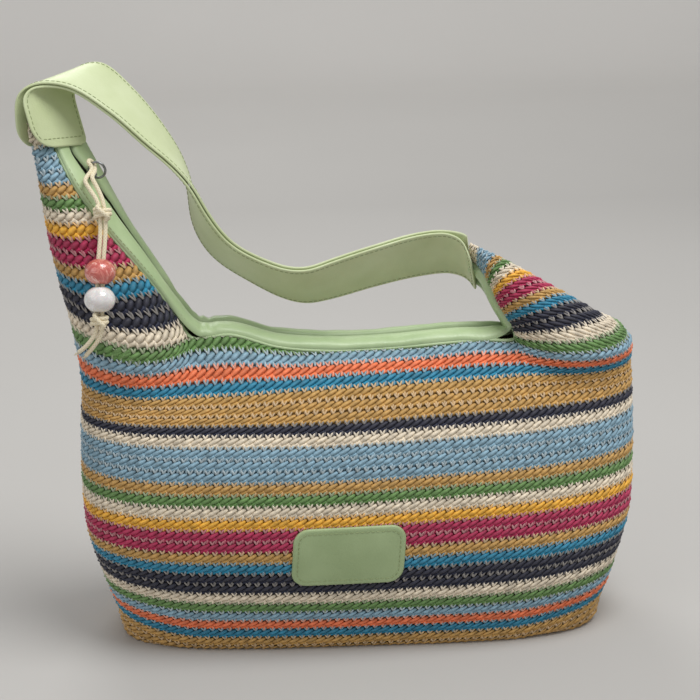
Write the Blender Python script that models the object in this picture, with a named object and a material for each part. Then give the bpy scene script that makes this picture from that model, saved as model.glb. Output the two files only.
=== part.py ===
# Striped woven-straw shoulder bag: two crocheted panels, leather trim, a zip and a beaded cord charm.
# Metres, +Z up, the front faces -Y. The origin is on the floor under the middle of the bag.
import bmesh
import bpy
import math
import numpy as np
from mathutils import Vector

# General clearances
SEAM_GAP = 0.0003            # between two pieces that lie against each other
HALF_SEAM = SEAM_GAP / 2

# The woven body, row by row from the bottom edge
BODY_ROWS = 27               # rows from the bottom edge to the middle of the rim
EAR_ROWS = 17                # rows of each ear above that
CLOTH = 0.0016               # the cloth between two ridges
RIDGE = 0.0009               # how far each crocheted row stands proud
BODY_HALF_LENGTH = 0.164
BODY_HALF_DEPTH = 0.060
RIM_HEIGHT = 0.175
BOTTOM_HALF_LENGTH = 0.1465
BOTTOM_HALF_DEPTH = 0.046
BODY_SHIFT = 0.003           # the body leans a little towards +X
CORNER_LIFT = 0.019          # how far the rows climb at the boxed bottom corners
LIFTED_ROWS = 13
BOTTOM_ROUNDING = 0.003

# Loft stations of the wall: row, height and bulge as parts of the sizes above, corner exponent, turn
WALL_ROWS = (0, 5, 10, 15, 20, 24)
WALL_HEIGHT = (0.017, 0.205, 0.406, 0.606, 0.797, 0.920)
WALL_LENGTH_BULGE = (0.0, 0.46, 0.93, 1.0, 0.93, 0.86)
WALL_DEPTH_BULGE = (0.0, 0.70, 1.0, 0.97, 0.62, 0.20)
WALL_CORNER = (3.6, 3.2, 3.0, 2.8, 2.7, 2.5)
WALL_TURN = (-4.0, -3.0, -1.0, 0.0, 0.0, 0.0)
WALL_PINCH = (0.0, 0.0, 0.0, 0.0, 0.04, 0.27)

# The mouth: its corners, half width and sag
MOUTH_HALF_WIDTH = 0.014
MOUTH_LEFT = -0.097
MOUTH_RIGHT = 0.091
MOUTH_RISE_LEFT = 0.016
MOUTH_RISE_RIGHT = 0.004
MOUTH_CROWN = 0.004

# Ear sections: row, centre, towards the back edge, towards the inside, half width, half thickness,
# and how far the front and back panels run round, in degrees from the outer seam
LEFT_EAR = (
    (27, (-0.1290, 0.000, 0.1870), (0.00, 1.00, 0.00), (1.00, 0.00, 0.00), 0.0345, 0.0325, 156, 156),
    (31, (-0.1400, 0.000, 0.2210), (0.21, 0.98, 0.00), (0.98, -0.21, 0.00), 0.0285, 0.0285, 153, 148),
    (35, (-0.1515, 0.000, 0.2510), (0.42, 0.91, 0.00), (0.91, -0.42, 0.00), 0.0238, 0.0215, 147, 140),
    (39, (-0.1600, 0.001, 0.2800), (0.62, 0.78, 0.00), (0.78, -0.62, 0.00), 0.0205, 0.0130, 142, 132),
    (44, (-0.1690, 0.003, 0.3130), (0.76, 0.65, 0.00), (0.65, -0.76, 0.00), 0.0175, 0.0036, 164, 86),
)
RIGHT_EAR = (
    (27, (0.1270, 0.000, 0.1760), (0.00, 1.00, 0.00), (-1.00, 0.00, 0.00), 0.0380, 0.0360, 158, 158),
    (30, (0.1170, 0.000, 0.1850), (0.20, 0.93, -0.30), (-0.95, 0.10, -0.20), 0.0330, 0.0250, 155, 152),
    (34, (0.1010, 0.002, 0.1980), (0.33, 0.82, -0.47), (-0.88, 0.10, -0.40), 0.0270, 0.0160, 150, 144),
    (38, (0.0870, 0.006, 0.2090), (0.30, 0.72, -0.62), (-0.65, -0.30, -0.60), 0.0220, 0.0090, 150, 126),
    (44, (0.0720, 0.011, 0.2180), (0.22, 0.60, -0.77), (-0.29, -0.71, -0.64), 0.0175, 0.0036, 164, 86),
)

# Lining, inside the panels
LINING_GAP = 0.0013
LINING_WALL = 0.0006
LINING_TOP_ROW = 40

# Leather trim along the mouth, as shares of the arc from the front rim to the back rim
FACING_THICKNESS = 0.0011
FACING_LIFT = 0.0012
FACING_STARTS = (0.11, 0.13)  # along the flat of the mouth, and along the ears
FACING_CORNER_START = 0.24   # beside the back piping where it cuts the right-hand corner
FACING_GAP = 0.078           # from the zip's middle to the near edge of a facing
PIPING_RADIUS = 0.0010
PIPING_INSET = 0.0006
PIPING_GAP = 0.0007

# Zip, below the trim
ZIP_DEPTH = 0.0040
ZIP_FIRST = 2                # stations of the mouth that the zip runs between
ZIP_LAST = -2
ZIP_STRAIGHT = 5             # stations of the zip's first, straight stretch
TAPE_THICKNESS = 0.0006
TAPE_INNER = 0.0031          # from the middle of the zip to the near edge of a tape
TAPE_OUTER = 0.0076
TAPE_FOLDED = 0.35           # share of a tape's width left where its top end is folded in
TOOTH_WIDTH = 0.0017
TOOTH_HEIGHT = 0.0018
TOOTH_DROP = -0.0006         # the teeth reach this far below the tape
TOOTH_SLOT = 0.0007          # half of the slot that the slider's neck runs in

# Slider and its ring
SLIDER_FROM_TOP = 0.0130     # from the zip's top end to the middle of the closed slider
SLIDER_TRAVEL = 0.060
SLIDER_NECK = 0.00035
RING_TILT = 25.0             # the ring leans up the slope, in degrees
CHARM_AROUND = 75.0          # where the cord hangs, round the ring from its far side
SLIDER_LENGTH = 0.0090
SLIDER_WIDTH = 0.0074
SLIDER_PLATE = 0.0009
LUG_HEIGHT = 0.0062
LUG_WIDTH = 0.0029
LUG_THICKNESS = 0.0010
LUG_EYE_UP = 0.0010
LUG_EYE = 0.0028
LUG_RIM = 0.0006
RING_RADIUS = 0.0046
RING_WIRE = 0.00055

# Shoulder strap: width, the two plies, and the middle line with the way across at each station
STRAP_WIDTH = 0.038
PLY_THICKNESS = 0.0012
PLY_GAP = 0.0008
STRAP_ROUTE = (
    ((-0.1658, 0.0024, 0.300), (0.75, 0.66, -0.02), 1.40),
    ((-0.1698, 0.003, 0.318), (0.76, 0.65, -0.04), 1.0),
    ((-0.1685, 0.003, 0.3275), (0.74, 0.67, -0.06), 0.45),
    ((-0.1625, 0.005, 0.3350), (0.66, 0.74, 0.08), 0.0),
    ((-0.1505, 0.008, 0.3360), (0.50, 0.85, 0.17), 0.0),
    ((-0.1315, 0.007, 0.3215), (0.38, 0.91, 0.15), 0.0),
    ((-0.113, 0.004, 0.3015), (0.28, 0.95, 0.06), 0.0),
    ((-0.102, 0.002, 0.288), (0.17, 0.98, -0.06), 0.0),
    ((-0.094, 0.000, 0.273), (0.03, 0.97, -0.21), 0.0),
    ((-0.089, -0.001, 0.255), (-0.14, 0.91, -0.36), 0.0),
    ((-0.079, -0.001, 0.238), (-0.20, 0.88, -0.42), 0.0),
    ((-0.057, 0.000, 0.222), (-0.12, 0.83, -0.54), 0.0),
    ((-0.036, -0.001, 0.213), (0.00, 0.72, -0.68), 0.0),
    ((-0.028, -0.001, 0.212), (0.03, 0.68, -0.73), 0.0),
    ((-0.018, 0.000, 0.214), (0.06, 0.64, -0.76), 0.0),
    ((0.014, 0.002, 0.222), (0.07, 0.60, -0.79), 0.0),
    ((0.038, 0.006, 0.226), (0.10, 0.57, -0.81), 0.0),
    ((0.056, 0.009, 0.225), (0.16, 0.58, -0.80), 0.85),
    ((0.0705, 0.0112, 0.2188), (0.22, 0.60, -0.77), 1.0),
    ((0.0785, 0.0090, 0.2143), (0.25, 0.65, -0.71), 1.45),
)
STRAP_STATIONS = 29
STRAP_FOLLOWS_BENDS = 1.0
STRAP_SOFTENING = 120
TAB_SPREAD_INSIDE = 0.0074
TAB_SPREAD_OUTSIDE = 0.0062

# Stitched leather patch on the front
PATCH_LENGTH = 0.070
PATCH_HEIGHT_ROWS = 5.2
PATCH_CORNER = 0.009
PATCH_THICKNESS = 0.0016
PATCH_X = -0.011
PATCH_ROW = 9.5

# Cord charm: a doubled cord, two knots and two beads
CORD = 0.0024
CORD_POINTS = 74
CORD_LOOP_POINTS = 20
STRAND_GAP = 0.0003
STRAND_SIDE = (1.0, 0.0, 0.0)
BORE_ROOM = 0.00045
UPPER_KNOT_AT = (-0.1433, -0.0265, 0.2658)
PINK_BEAD_AT = (-0.1460, -0.0380, 0.2359)
WHITE_BEAD_AT = (-0.1469, -0.0440, 0.2220)
LOWER_KNOT_AT = (-0.1477, -0.0470, 0.2109)
STEM_ROUTE = ((-0.1498, -0.0180, 0.2822), (-0.1442, -0.0241, 0.2712), UPPER_KNOT_AT,
              (-0.1434, -0.0294, 0.2595), PINK_BEAD_AT, WHITE_BEAD_AT, LOWER_KNOT_AT,
              (-0.1483, -0.0484, 0.2050), (-0.1535, -0.0475, 0.1965),
              (-0.1577, -0.0450, 0.1917))
BEAD_RADIUS = 0.0086
BEAD_SQUASH = 0.86
KNOT_RADIUS = 0.0052
KNOT_HALF_HEIGHT = 0.0041


def material(name, color, roughness, metallic=0.0):
    made = bpy.data.materials.new(name)
    made.use_nodes = True
    shader = made.node_tree.nodes["Principled BSDF"]
    shader.inputs["Base Color"].default_value = (*color, 1.0)
    shader.inputs["Roughness"].default_value = roughness
    shader.inputs["Metallic"].default_value = metallic
    return made


def add_object(name, vertices, faces, look, smooth=False):
    mesh = bpy.data.meshes.new(name)
    mesh.from_pydata([tuple(v) for v in vertices], [], faces)
    work = bmesh.new()
    work.from_mesh(mesh)
    bmesh.ops.remove_doubles(work, verts=work.verts, dist=0.000001)
    bmesh.ops.recalc_face_normals(work, faces=work.faces)
    work.to_mesh(mesh)
    work.free()
    if smooth:
        mesh.shade_smooth()
    mesh.materials.append(look)
    made = bpy.data.objects.new(name, mesh)
    bpy.context.scene.collection.objects.link(made)
    return made


def unit(vectors):
    vectors = np.asarray(vectors, float)
    return vectors / np.linalg.norm(vectors, axis=-1, keepdims=True)


def through(knots, values, at):
    """Smooth curve through the values at the knots, read at the given places."""
    knots = np.asarray(knots, float)
    values = np.asarray(values, float)
    at = np.atleast_1d(np.asarray(at, float))
    step = np.diff(knots)
    shape = (-1,) + (1,) * (values.ndim - 1)
    rate = np.diff(values, axis=0) / step.reshape(shape)
    before = step[:-1].reshape(shape)
    after = step[1:].reshape(shape)
    middle = (rate[:-1] * after + rate[1:] * before) / (before + after)
    slope = np.concatenate([rate[:1], middle, rate[-1:]])
    cell = np.clip(np.searchsorted(knots, at, "right") - 1, 0, len(knots) - 2)
    width = step[cell]
    t = ((at - knots[cell]) / width).reshape(shape)
    width = width.reshape(shape)
    return ((2 * t**3 - 3 * t**2 + 1) * values[cell] + (t**3 - 2 * t**2 + t) * width * slope[cell]
            + (3 * t**2 - 2 * t**3) * values[cell + 1] + (t**3 - t**2) * width * slope[cell + 1])


def by_length(line, shares):
    """Points at the given shares of a dense polyline's length."""
    length = np.concatenate([[0], np.cumsum(np.linalg.norm(np.diff(line, axis=0), axis=1))])
    places = np.asarray(shares, float) * length[-1]
    return np.stack([np.interp(places, length, line[:, axis]) for axis in range(line.shape[1])], axis=1)


def ease(low, high, x):
    t = np.clip((np.asarray(x, float) - low) / (high - low), 0, 1)
    return t * t * (3 - 2 * t)


def mouth_height(x):
    """Height of the woven rim along the flat part of the mouth."""
    rise = MOUTH_RISE_LEFT * (1 - ease(MOUTH_LEFT, -0.025, x))
    return RIM_HEIGHT + rise + MOUTH_RISE_RIGHT * ease(0.03, MOUTH_RIGHT, x)


def ear_frame(section):
    _, centre, across, inward, half_width, half_thickness, front_end, back_end = section
    across = unit(across)
    inward = np.asarray(inward, float)
    inward = unit(inward - (inward @ across) * across)
    return np.asarray(centre, float), across, inward, half_width, half_thickness, front_end, back_end


def ear_arc(section, side, shares):
    """One row of an ear, from its outer seam to the rim of the front (side -1) or back panel (+1)."""
    centre, across, inward, half_width, half_thickness, front_end, back_end = ear_frame(section)
    end = math.radians(front_end if side < 0 else back_end)
    angle = np.linspace(0, end, 160)
    out = -np.cos(angle)[:, None] * half_thickness * inward
    over = (side * (HALF_SEAM + half_width * np.sin(angle)))[:, None] * across
    return by_length(centre + out + over, shares)


def wall_ring(station, side, part, shares):
    """One loft station of the wall, as seen from above: left arc, middle or right arc."""
    row = WALL_ROWS[station]
    half_length = (BOTTOM_HALF_LENGTH + WALL_LENGTH_BULGE[station]
                   * (BODY_HALF_LENGTH - BOTTOM_HALF_LENGTH))
    half_depth = (BOTTOM_HALF_DEPTH + WALL_DEPTH_BULGE[station]
                  * (BODY_HALF_DEPTH - BOTTOM_HALF_DEPTH))
    power = WALL_CORNER[station]
    shares = np.asarray(shares, float)
    if part == "middle":
        x = MOUTH_LEFT + (MOUTH_RIGHT - MOUTH_LEFT) * shares
        y = half_depth * (1 - np.abs((x - BODY_SHIFT) / half_length)**power)**(1 / power)
    else:
        corner = MOUTH_LEFT if part == "left" else MOUTH_RIGHT
        sign = -1 if part == "left" else 1
        inner = abs(corner - BODY_SHIFT) / half_length
        angle = np.linspace(0, math.acos(inner**(power / 2)), 300)
        arc_x = BODY_SHIFT + sign * half_length * np.cos(angle)**(2 / power)
        arc = np.stack([arc_x, half_depth * np.sin(angle)**(2 / power)], axis=1)
        x, y = by_length(arc, shares).T
    pinch = WALL_PINCH[station] * ease(0.150, 0.090, np.abs(x - BODY_SHIFT))
    y = side * (HALF_SEAM + y * (1 - pinch))
    reach = {"left": 1 - shares, "middle": 0 * shares, "right": 1 - shares}[part]
    lift = CORNER_LIFT * reach**1.4 * max(0.0, 1 - row / LIFTED_ROWS)**2
    z = RIM_HEIGHT * WALL_HEIGHT[station] + lift
    turn = math.radians(WALL_TURN[station])
    return np.stack([x * math.cos(turn) - y * math.sin(turn),
                     x * math.sin(turn) + y * math.cos(turn), z], axis=1)


def stations(side, part, shares):
    """Rows and points of every loft station of one part of a panel."""
    rows = list(WALL_ROWS)
    rings = [wall_ring(i, side, part, shares) for i in range(len(WALL_ROWS))]
    if part == "middle":
        left = ear_arc(LEFT_EAR[0], side, [1.0])[0]
        right = ear_arc(RIGHT_EAR[0], side, [1.0])[0]
        x = left[0] + (right[0] - left[0]) * np.asarray(shares, float)
        y = left[1] + (right[1] - left[1]) * np.asarray(shares, float)
        z = mouth_height(x) + (left[2] - mouth_height(left[0])) * (1 - ease(left[0], left[0] + 0.03, x))
        z = z + (right[2] - mouth_height(right[0])) * ease(right[0] - 0.03, right[0], x)
        rings.append(np.stack([x, y, z], axis=1))
        rows.append(BODY_ROWS)
    else:
        for section in LEFT_EAR if part == "left" else RIGHT_EAR:
            rings.append(ear_arc(section, side, shares))
            rows.append(section[0])
    return rows, np.stack(rings)


def cloth(side, part, shares, rows):
    """Grid of points on the cloth: rows by shares, each share counted from the outer seam."""
    knots, rings = stations(side, part, shares)
    return through(knots, rings, rows)


def cloth_normals(side, part, shares, rows, both=True):
    shares = np.asarray(shares, float)
    rows = np.asarray(rows, float)
    step = 0.01
    top = BODY_ROWS if part == "middle" else BODY_ROWS + EAR_ROWS
    along = (cloth(side, part, np.clip(shares + step, 0, 1), rows)
             - cloth(side, part, np.clip(shares - step, 0, 1), rows))
    upward = (cloth(side, part, shares, np.clip(rows + 0.05, 0, top))
              - cloth(side, part, shares, np.clip(rows - 0.05, 0, top)))
    normal = unit(np.cross(along, upward))
    turned = {("left", -1): 1, ("middle", -1): 1, ("right", -1): -1,
              ("left", 1): -1, ("middle", 1): -1, ("right", 1): 1}[(part, side)]
    normal = normal * turned
    if part != "middle" and both:
        # At the outer seam both panels share one normal, square to the seam's gap
        gap = unit(cloth(side, part, [0.0], rows) - cloth(-side, part, [0.0], rows))[:, 0]
        other = cloth_normals(-side, part, [0.0], rows, False)[:, 0]
        for column in np.flatnonzero(shares == 0.0):
            seam = normal[:, column] + other
            normal[:, column] = unit(seam - np.sum(seam * gap, axis=1, keepdims=True) * gap)
    return normal


LEFT_SHARES = np.array([0, 0.15, 0.32, 0.52, 0.76, 1.0])
RIGHT_SHARES = LEFT_SHARES[::-1]
MIDDLE_SHARES = np.array([0, 0.13, 0.27, 0.43, 0.62, 0.82, 1.0])
INNER_ROWS = (0.4, 5, 9, 13, 17, 21, 24, 25.5, BODY_ROWS)
LINING_ROWS = (0.4, 9, 17, 21, 24, 25.5, BODY_ROWS)
INNER_EAR_ROWS = (30, 33, 36, LINING_TOP_ROW, BODY_ROWS + EAR_ROWS)


def soft_normals(side, part, shares, rows):
    """Normals evened out over the neighbouring rows, for the hidden inner skins."""
    shares = np.asarray(shares, float)
    rows = np.asarray(rows, float)
    top = BODY_ROWS if part == "middle" else BODY_ROWS + EAR_ROWS
    exact = cloth_normals(side, part, shares, rows)
    total = exact.copy()
    for across in (-0.12, 0.0, 0.12):
        for up in (-2.5, -1.2, 1.2, 2.5):
            near = np.clip(shares + across, 0.001, 1)
            total += cloth_normals(side, part, near, np.clip(rows + up, 0.2, top), False)
    total = unit(total)
    if part != "middle":
        total[:, shares == 0.0] = exact[:, shares == 0.0]
    return total


def raised(side, part, shares, rows, lift):
    """Grid of points moved out along the cloth's normal by lift per row; the outer seams lie flat."""
    lift = np.broadcast_to(np.asarray(lift, float), (len(rows),))[:, None]
    flat = (np.asarray(shares, float) == 0.0) & (part != "middle")
    inner = bool(np.all(lift < 0))
    lift = np.where(flat & (lift > 0), 0.0, lift)[:, :, None]
    normals = (soft_normals if inner else cloth_normals)(side, part, shares, rows)
    return cloth(side, part, shares, rows) + lift * normals


def body_grid(side, rows, lift, closed=False):
    """Points of the whole wall, left seam to right seam."""
    blocks = []
    for part, shares in (("left", LEFT_SHARES), ("middle", MIDDLE_SHARES[1:-1]), ("right", RIGHT_SHARES)):
        blocks.append(raised(side, part, shares, rows, lift))
    grid = np.concatenate(blocks, axis=1)
    if closed:
        for column, part in ((0, "left"), (-1, "right")):
            grid[:, column] = (grid[:, column] + raised(-side, part, [0.0], rows, lift)[:, 0]) / 2
    return grid


def ear_grid(side, part, rows, lift, closed=False):
    grid = raised(side, part, LEFT_SHARES if part == "left" else RIGHT_SHARES, rows, lift)
    if closed:
        column = 0 if part == "left" else -1
        grid[:, column] = (grid[:, column] + raised(-side, part, [0.0], rows, lift)[:, 0]) / 2
    return grid


class Shell:
    """Collects points and faces of one closed body."""

    def __init__(self):
        self.points = []
        self.faces = []

    def add(self, points):
        first = len(self.points)
        self.points.extend(np.asarray(points, float).reshape(-1, 3))
        return list(range(first, first + len(self.points) - first))

    def grid(self, points):
        rows, columns = points.shape[:2]
        numbers = np.array(self.add(points)).reshape(rows, columns)
        self.skin(numbers)
        return numbers

    def skin(self, numbers):
        for i in range(numbers.shape[0] - 1):
            for j in range(numbers.shape[1] - 1):
                self.faces.append((numbers[i, j], numbers[i, j + 1], numbers[i + 1, j + 1]))
                self.faces.append((numbers[i, j], numbers[i + 1, j + 1], numbers[i + 1, j]))

    def join_lines(self, first, second, a, b):
        """Triangles between two open lines of points, kept in step by the rows a and b of their points."""
        i = j = 0
        while i < len(first) - 1 or j < len(second) - 1:
            step_first = j == len(second) - 1 or (i < len(first) - 1 and a[i + 1] <= b[j + 1])
            if step_first:
                self.faces.append((first[i], first[i + 1], second[j]))
                i += 1
            else:
                self.faces.append((first[i], second[j + 1], second[j]))
                j += 1


def ridged_rows(first, last):
    """Rows and offsets of a wall of crocheted rows: a valley at each whole row, a crest between."""
    rows = []
    lift = []
    for row in range(first, last):
        rows += [row, row + 0.5]
        lift += [0.0, RIDGE]
    return rows + [last], lift + [0.0]


def foot_rings(base, gap, floor):
    """The flat foot's edge, and the ring half way up from it to the first row."""
    inset = BOTTOM_ROUNDING + 2.5 * floor
    foot = base.copy()
    foot[:, 0] = BODY_SHIFT + (foot[:, 0] - BODY_SHIFT) * (1 - inset / BOTTOM_HALF_LENGTH)
    foot[:, 1] = gap + (foot[:, 1] - gap) * (1 - inset / BOTTOM_HALF_DEPTH)
    foot[:, 2] = floor
    return foot, (foot + base) / 2 + (base - foot) * (0.18, 0.18, 0)


def wall_skin(shell, side, body_rows, body_lift, ear_rows, ear_lift, floor, closed=False):
    """One skin of a panel with its ears. Returns its border lines and the ends of its foot."""
    points = body_grid(side, body_rows, body_lift, closed)
    body = shell.grid(points)
    foot_points, middle_points = foot_rings(points[0], 0.0 if closed else side * HALF_SEAM, floor)
    foot = np.array(shell.add(foot_points))
    middle = np.array(shell.add(middle_points))
    shell.skin(np.stack([foot, middle, body[0]]))
    shell.faces.append(tuple(foot))
    left_count = len(LEFT_SHARES)
    ears = [shell_ear(shell, side, part, ear_rows, ear_lift, closed) for part in ("left", "right")]
    left = np.vstack([body[-1, :left_count], ears[0]])
    right = np.vstack([body[-1, -left_count:], ears[1]])
    shell.skin(left)
    shell.skin(right)
    seam_rows = [-2, -1] + list(body_rows) + list(ear_rows)
    rim_rows = [BODY_ROWS] + list(ear_rows)
    rim = body[-1, left_count - 1:-left_count + 1]
    borders = (
        (np.concatenate([[foot[0], middle[0]], body[:, 0], left[1:, 0]]), seam_rows),
        (left[-1], LEFT_SHARES),
        (left[:, -1], rim_rows),
        (rim, range(len(rim))),
        (right[:, 0], rim_rows),
        (right[-1], LEFT_SHARES),
        (np.concatenate([[foot[-1], middle[-1]], body[:, -1], right[1:, -1]]), seam_rows),
    )
    return borders, (foot[0], foot[-1])


def shell_ear(shell, side, part, rows, lift, closed):
    points = ear_grid(side, part, rows, lift, closed)
    return np.array(shell.add(points)).reshape(points.shape[:2])


def woven_panel(name, side, look):
    shell = Shell()
    rows, lift = ridged_rows(0, BODY_ROWS)
    ear_rows, ear_lift = ridged_rows(BODY_ROWS, BODY_ROWS + EAR_ROWS)
    outer, foot = wall_skin(shell, side, rows, lift, ear_rows[1:], ear_lift[1:], 0.0)
    inner, inner_foot = wall_skin(shell, side, INNER_ROWS, -CLOTH, INNER_EAR_ROWS, -CLOTH, CLOTH)
    for (outer_line, outer_places), (inner_line, inner_places) in zip(outer, inner):
        shell.join_lines(outer_line, inner_line, outer_places, inner_places)
    shell.faces.append((foot[0], foot[1], inner_foot[1], inner_foot[0]))
    return add_object(name, shell.points, shell.faces, look)


def closed_loft(name, rings, look, smooth=False):
    """A solid lofted through closed rings of points, with flat ends."""
    shell = Shell()
    numbers = np.array([shell.add(ring) for ring in rings])
    shell.skin(np.hstack([numbers, numbers[:, :1]]))
    shell.faces.append(tuple(numbers[0]))
    shell.faces.append(tuple(numbers[-1]))
    return add_object(name, shell.points, shell.faces, look, smooth)


def ring_loft(name, rings, look, smooth=True):
    """A solid lofted through closed rings of points that come back to the first ring."""
    shell = Shell()
    numbers = np.array([shell.add(ring) for ring in rings])
    numbers = np.vstack([numbers, numbers[:1]])
    shell.skin(np.hstack([numbers, numbers[:, :1]]))
    return add_object(name, shell.points, shell.faces, look, smooth)


# The lining: one inner bag, closed at the bottom and up both seams, open along the mouth
def lining(look):
    shell = Shell()
    for side in (-1, 1):
        skins = []
        for depth in (CLOTH + LINING_GAP, CLOTH + LINING_GAP + LINING_WALL):
            skins.append(wall_skin(shell, side, LINING_ROWS, -depth, INNER_EAR_ROWS[:-1], -depth,
                                   depth, True)[0])
        for outer, inner in list(zip(*skins))[1:-1]:
            shell.join_lines(outer[0], inner[0], outer[1], inner[1])
    return add_object("lining", shell.points, shell.faces, look)


# Stations along the mouth, from the left ear's top to the right ear's top
MOUTH_STATIONS = ([("left", row) for row in (43.9, 42.5, 41, 39, 37, 35, 33, 31, 29.3)]
                  + [("middle", share) for share in (0.04, 0.13, 0.27, 0.43, 0.62, 0.82, 0.93)]
                  + [("right", row) for row in (30.3, 32, 34, 36, 38, 40, 42, 43.9)])
BACK_CORNER_ROW = 33         # the back piping cuts the right-hand corner up to here
PIPING_STATIONS = ([("left", row) for row in (42, 41, 40, 39, 38, 37, 36, 35, 34, 33, 32, 31, 30, 29, 28)]
                   + [("middle", share) for share in (0.01, 0.13, 0.27, 0.43, 0.62, 0.82, 0.92, 0.97)]
                   + [("right", row) for row in (27.5, 28.5, 29.5, 31, 32, 33.5, 35, 36.5, 38, 39.5, 40.5)])


def section_at(ear, row):
    """The ear's section at any row, between its given stations."""
    knots = [section[0] for section in ear]
    values = [np.concatenate([s[1], s[2], s[3], s[4:]]) for s in ear]
    mixed = through(knots, values, row)[0]
    return (row, mixed[0:3], mixed[3:6], mixed[6:9], *mixed[9:])


def mouth_arc(station):
    """The open arc from the front rim (share 0) to the back rim (share 1), as a dense line."""
    part, place = station
    share = np.linspace(0, 1, 41)
    if part == "middle":
        front = cloth(-1, "middle", [place], [BODY_ROWS])[0, 0]
        back = cloth(1, "middle", [place], [BODY_ROWS])[0, 0]
        line = front + (back - front) * share[:, None]
        line[:, 2] += MOUTH_CROWN * 4 * share * (1 - share)
        return line
    ear = LEFT_EAR if part == "left" else RIGHT_EAR
    centre, across, inward, half_width, half_thickness, front_end, back_end = ear_frame(section_at(ear, place))
    angle = np.radians(front_end + (360 - back_end - front_end) * share)
    line = (centre - np.cos(angle)[:, None] * half_thickness * inward
            - np.sin(angle)[:, None] * half_width * across)
    front = cloth(-1, part, [1.0], [place])[0, 0] - line[0]
    back = cloth(1, part, [1.0], [place])[0, 0] - line[-1]
    return line + (1 - share)[:, None] * front + share[:, None] * back


def mouth_lines():
    arcs = np.stack([mouth_arc(station) for station in MOUTH_STATIONS])
    along = unit(np.gradient(arcs, axis=0))
    over = unit(np.gradient(arcs, axis=1))
    return arcs, unit(np.cross(along, over))


def mouth_point(arcs, normals, share, lift):
    """Points at one share of every arc (or a share for each), lifted off the mouth."""
    place = np.broadcast_to(share, len(arcs)) * (arcs.shape[1] - 1)
    low = np.minimum(place.astype(int), arcs.shape[1] - 2)
    blend = (place - low)[:, None]
    each = np.arange(len(arcs))
    point = arcs[each, low] * (1 - blend) + arcs[each, low + 1] * blend
    normal = unit(normals[each, low] * (1 - blend) + normals[each, low + 1] * blend)
    return point + normal * np.asarray(lift).reshape(-1, 1)


def mouth_strip(name, look, arcs, normals, reach, lift, thickness, crown=0.0, count=3):
    """A strip of even thickness that follows the mouth between two shares of its arc."""
    low = np.broadcast_to(reach[0], len(arcs))
    high = np.broadcast_to(reach[1], len(arcs))
    shares = [low + (high - low) * t for t in np.linspace(0, 1, count)]
    bulge = crown * np.sin(np.linspace(0, math.pi, count))
    top = [mouth_point(arcs, normals, q, lift + thickness + b) for q, b in zip(shares, bulge)]
    under = [mouth_point(arcs, normals, q, lift + b) for q, b in zip(shares, bulge)]
    return closed_loft(name, np.stack(top + under[::-1], axis=1), look)


def tube(name, line, radius, sides, look, flat_ends=True):
    """A solid round bar along a polyline, its rings kept from twisting."""
    along = unit(np.gradient(line, axis=0))
    side = unit(np.cross(along[0], (0.3, 0.2, 1.0)))
    rings = []
    for point, forward in zip(line, along):
        side = unit(side - (side @ forward) * forward)
        over = np.cross(forward, side)
        angle = np.arange(sides) * 2 * math.pi / sides
        rings.append(point + radius * (np.cos(angle)[:, None] * side + np.sin(angle)[:, None] * over))
    return closed_loft(name, rings, look, True)


def piping_line(side):
    """The middle of the piping along a panel's free edge, half a cord's width beyond the cloth."""
    line = []
    for part, place in PIPING_STATIONS:
        if side == 1 and part == "right" and place < BACK_CORNER_ROW:
            continue
        if part == "middle":
            edge = cloth(side, part, [place], [BODY_ROWS])
            normal = cloth_normals(side, part, [place], [BODY_ROWS])[0, 0]
            beyond = edge[0, 0] - cloth(side, part, [place], [BODY_ROWS - 0.3])[0, 0]
        else:
            edge = cloth(side, part, [1.0], [place])
            normal = cloth_normals(side, part, [1.0], [place])[0, 0]
            beyond = edge[0, 0] - cloth(side, part, [0.97], [place])[0, 0]
        line.append(edge[0, 0] + unit(beyond) * (PIPING_RADIUS + PIPING_GAP) - normal * PIPING_INSET)
    return kept_clear(np.array(line), rim_skin(side), PIPING_RADIUS + PIPING_GAP)


def rim_skin(side):
    """Points all over the outer skin of a panel, near its free edge."""
    fine = np.linspace(0, 1, 60)
    skins = []
    for lift in (CLOTH / 2 + RIDGE, -CLOTH / 2):
        skins.append(raised(side, "middle", fine, np.linspace(24.5, BODY_ROWS, 12), lift))
        for part in ("left", "right"):
            ear_rows = np.linspace(24.5, 43, 60)
            skins.append(raised(side, part, np.linspace(0.70, 1, 14), ear_rows, lift))
    for part in ("left", "right"):
        corners = raised(side, part, [1.0], (BODY_ROWS,) + INNER_EAR_ROWS, -CLOTH / 2)[:, 0]
        shares = np.linspace(0, len(corners) - 1, 90)
        skins.append(np.stack([np.interp(shares, range(len(corners)), c) for c in corners.T], axis=1))
    return np.concatenate([skin.reshape(-1, 3) for skin in skins])


def kept_clear(line, others, distance):
    """Moves the points of a line away from other points until none is nearer than the distance."""
    for _ in range(12):
        for number, point in enumerate(line):
            away = point - others
            apart = np.linalg.norm(away, axis=1)
            nearest = np.argmin(apart)
            if apart[nearest] < distance:
                line[number] = point + unit(away[nearest]) * (distance - apart[nearest]) * 0.7
    return line


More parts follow.
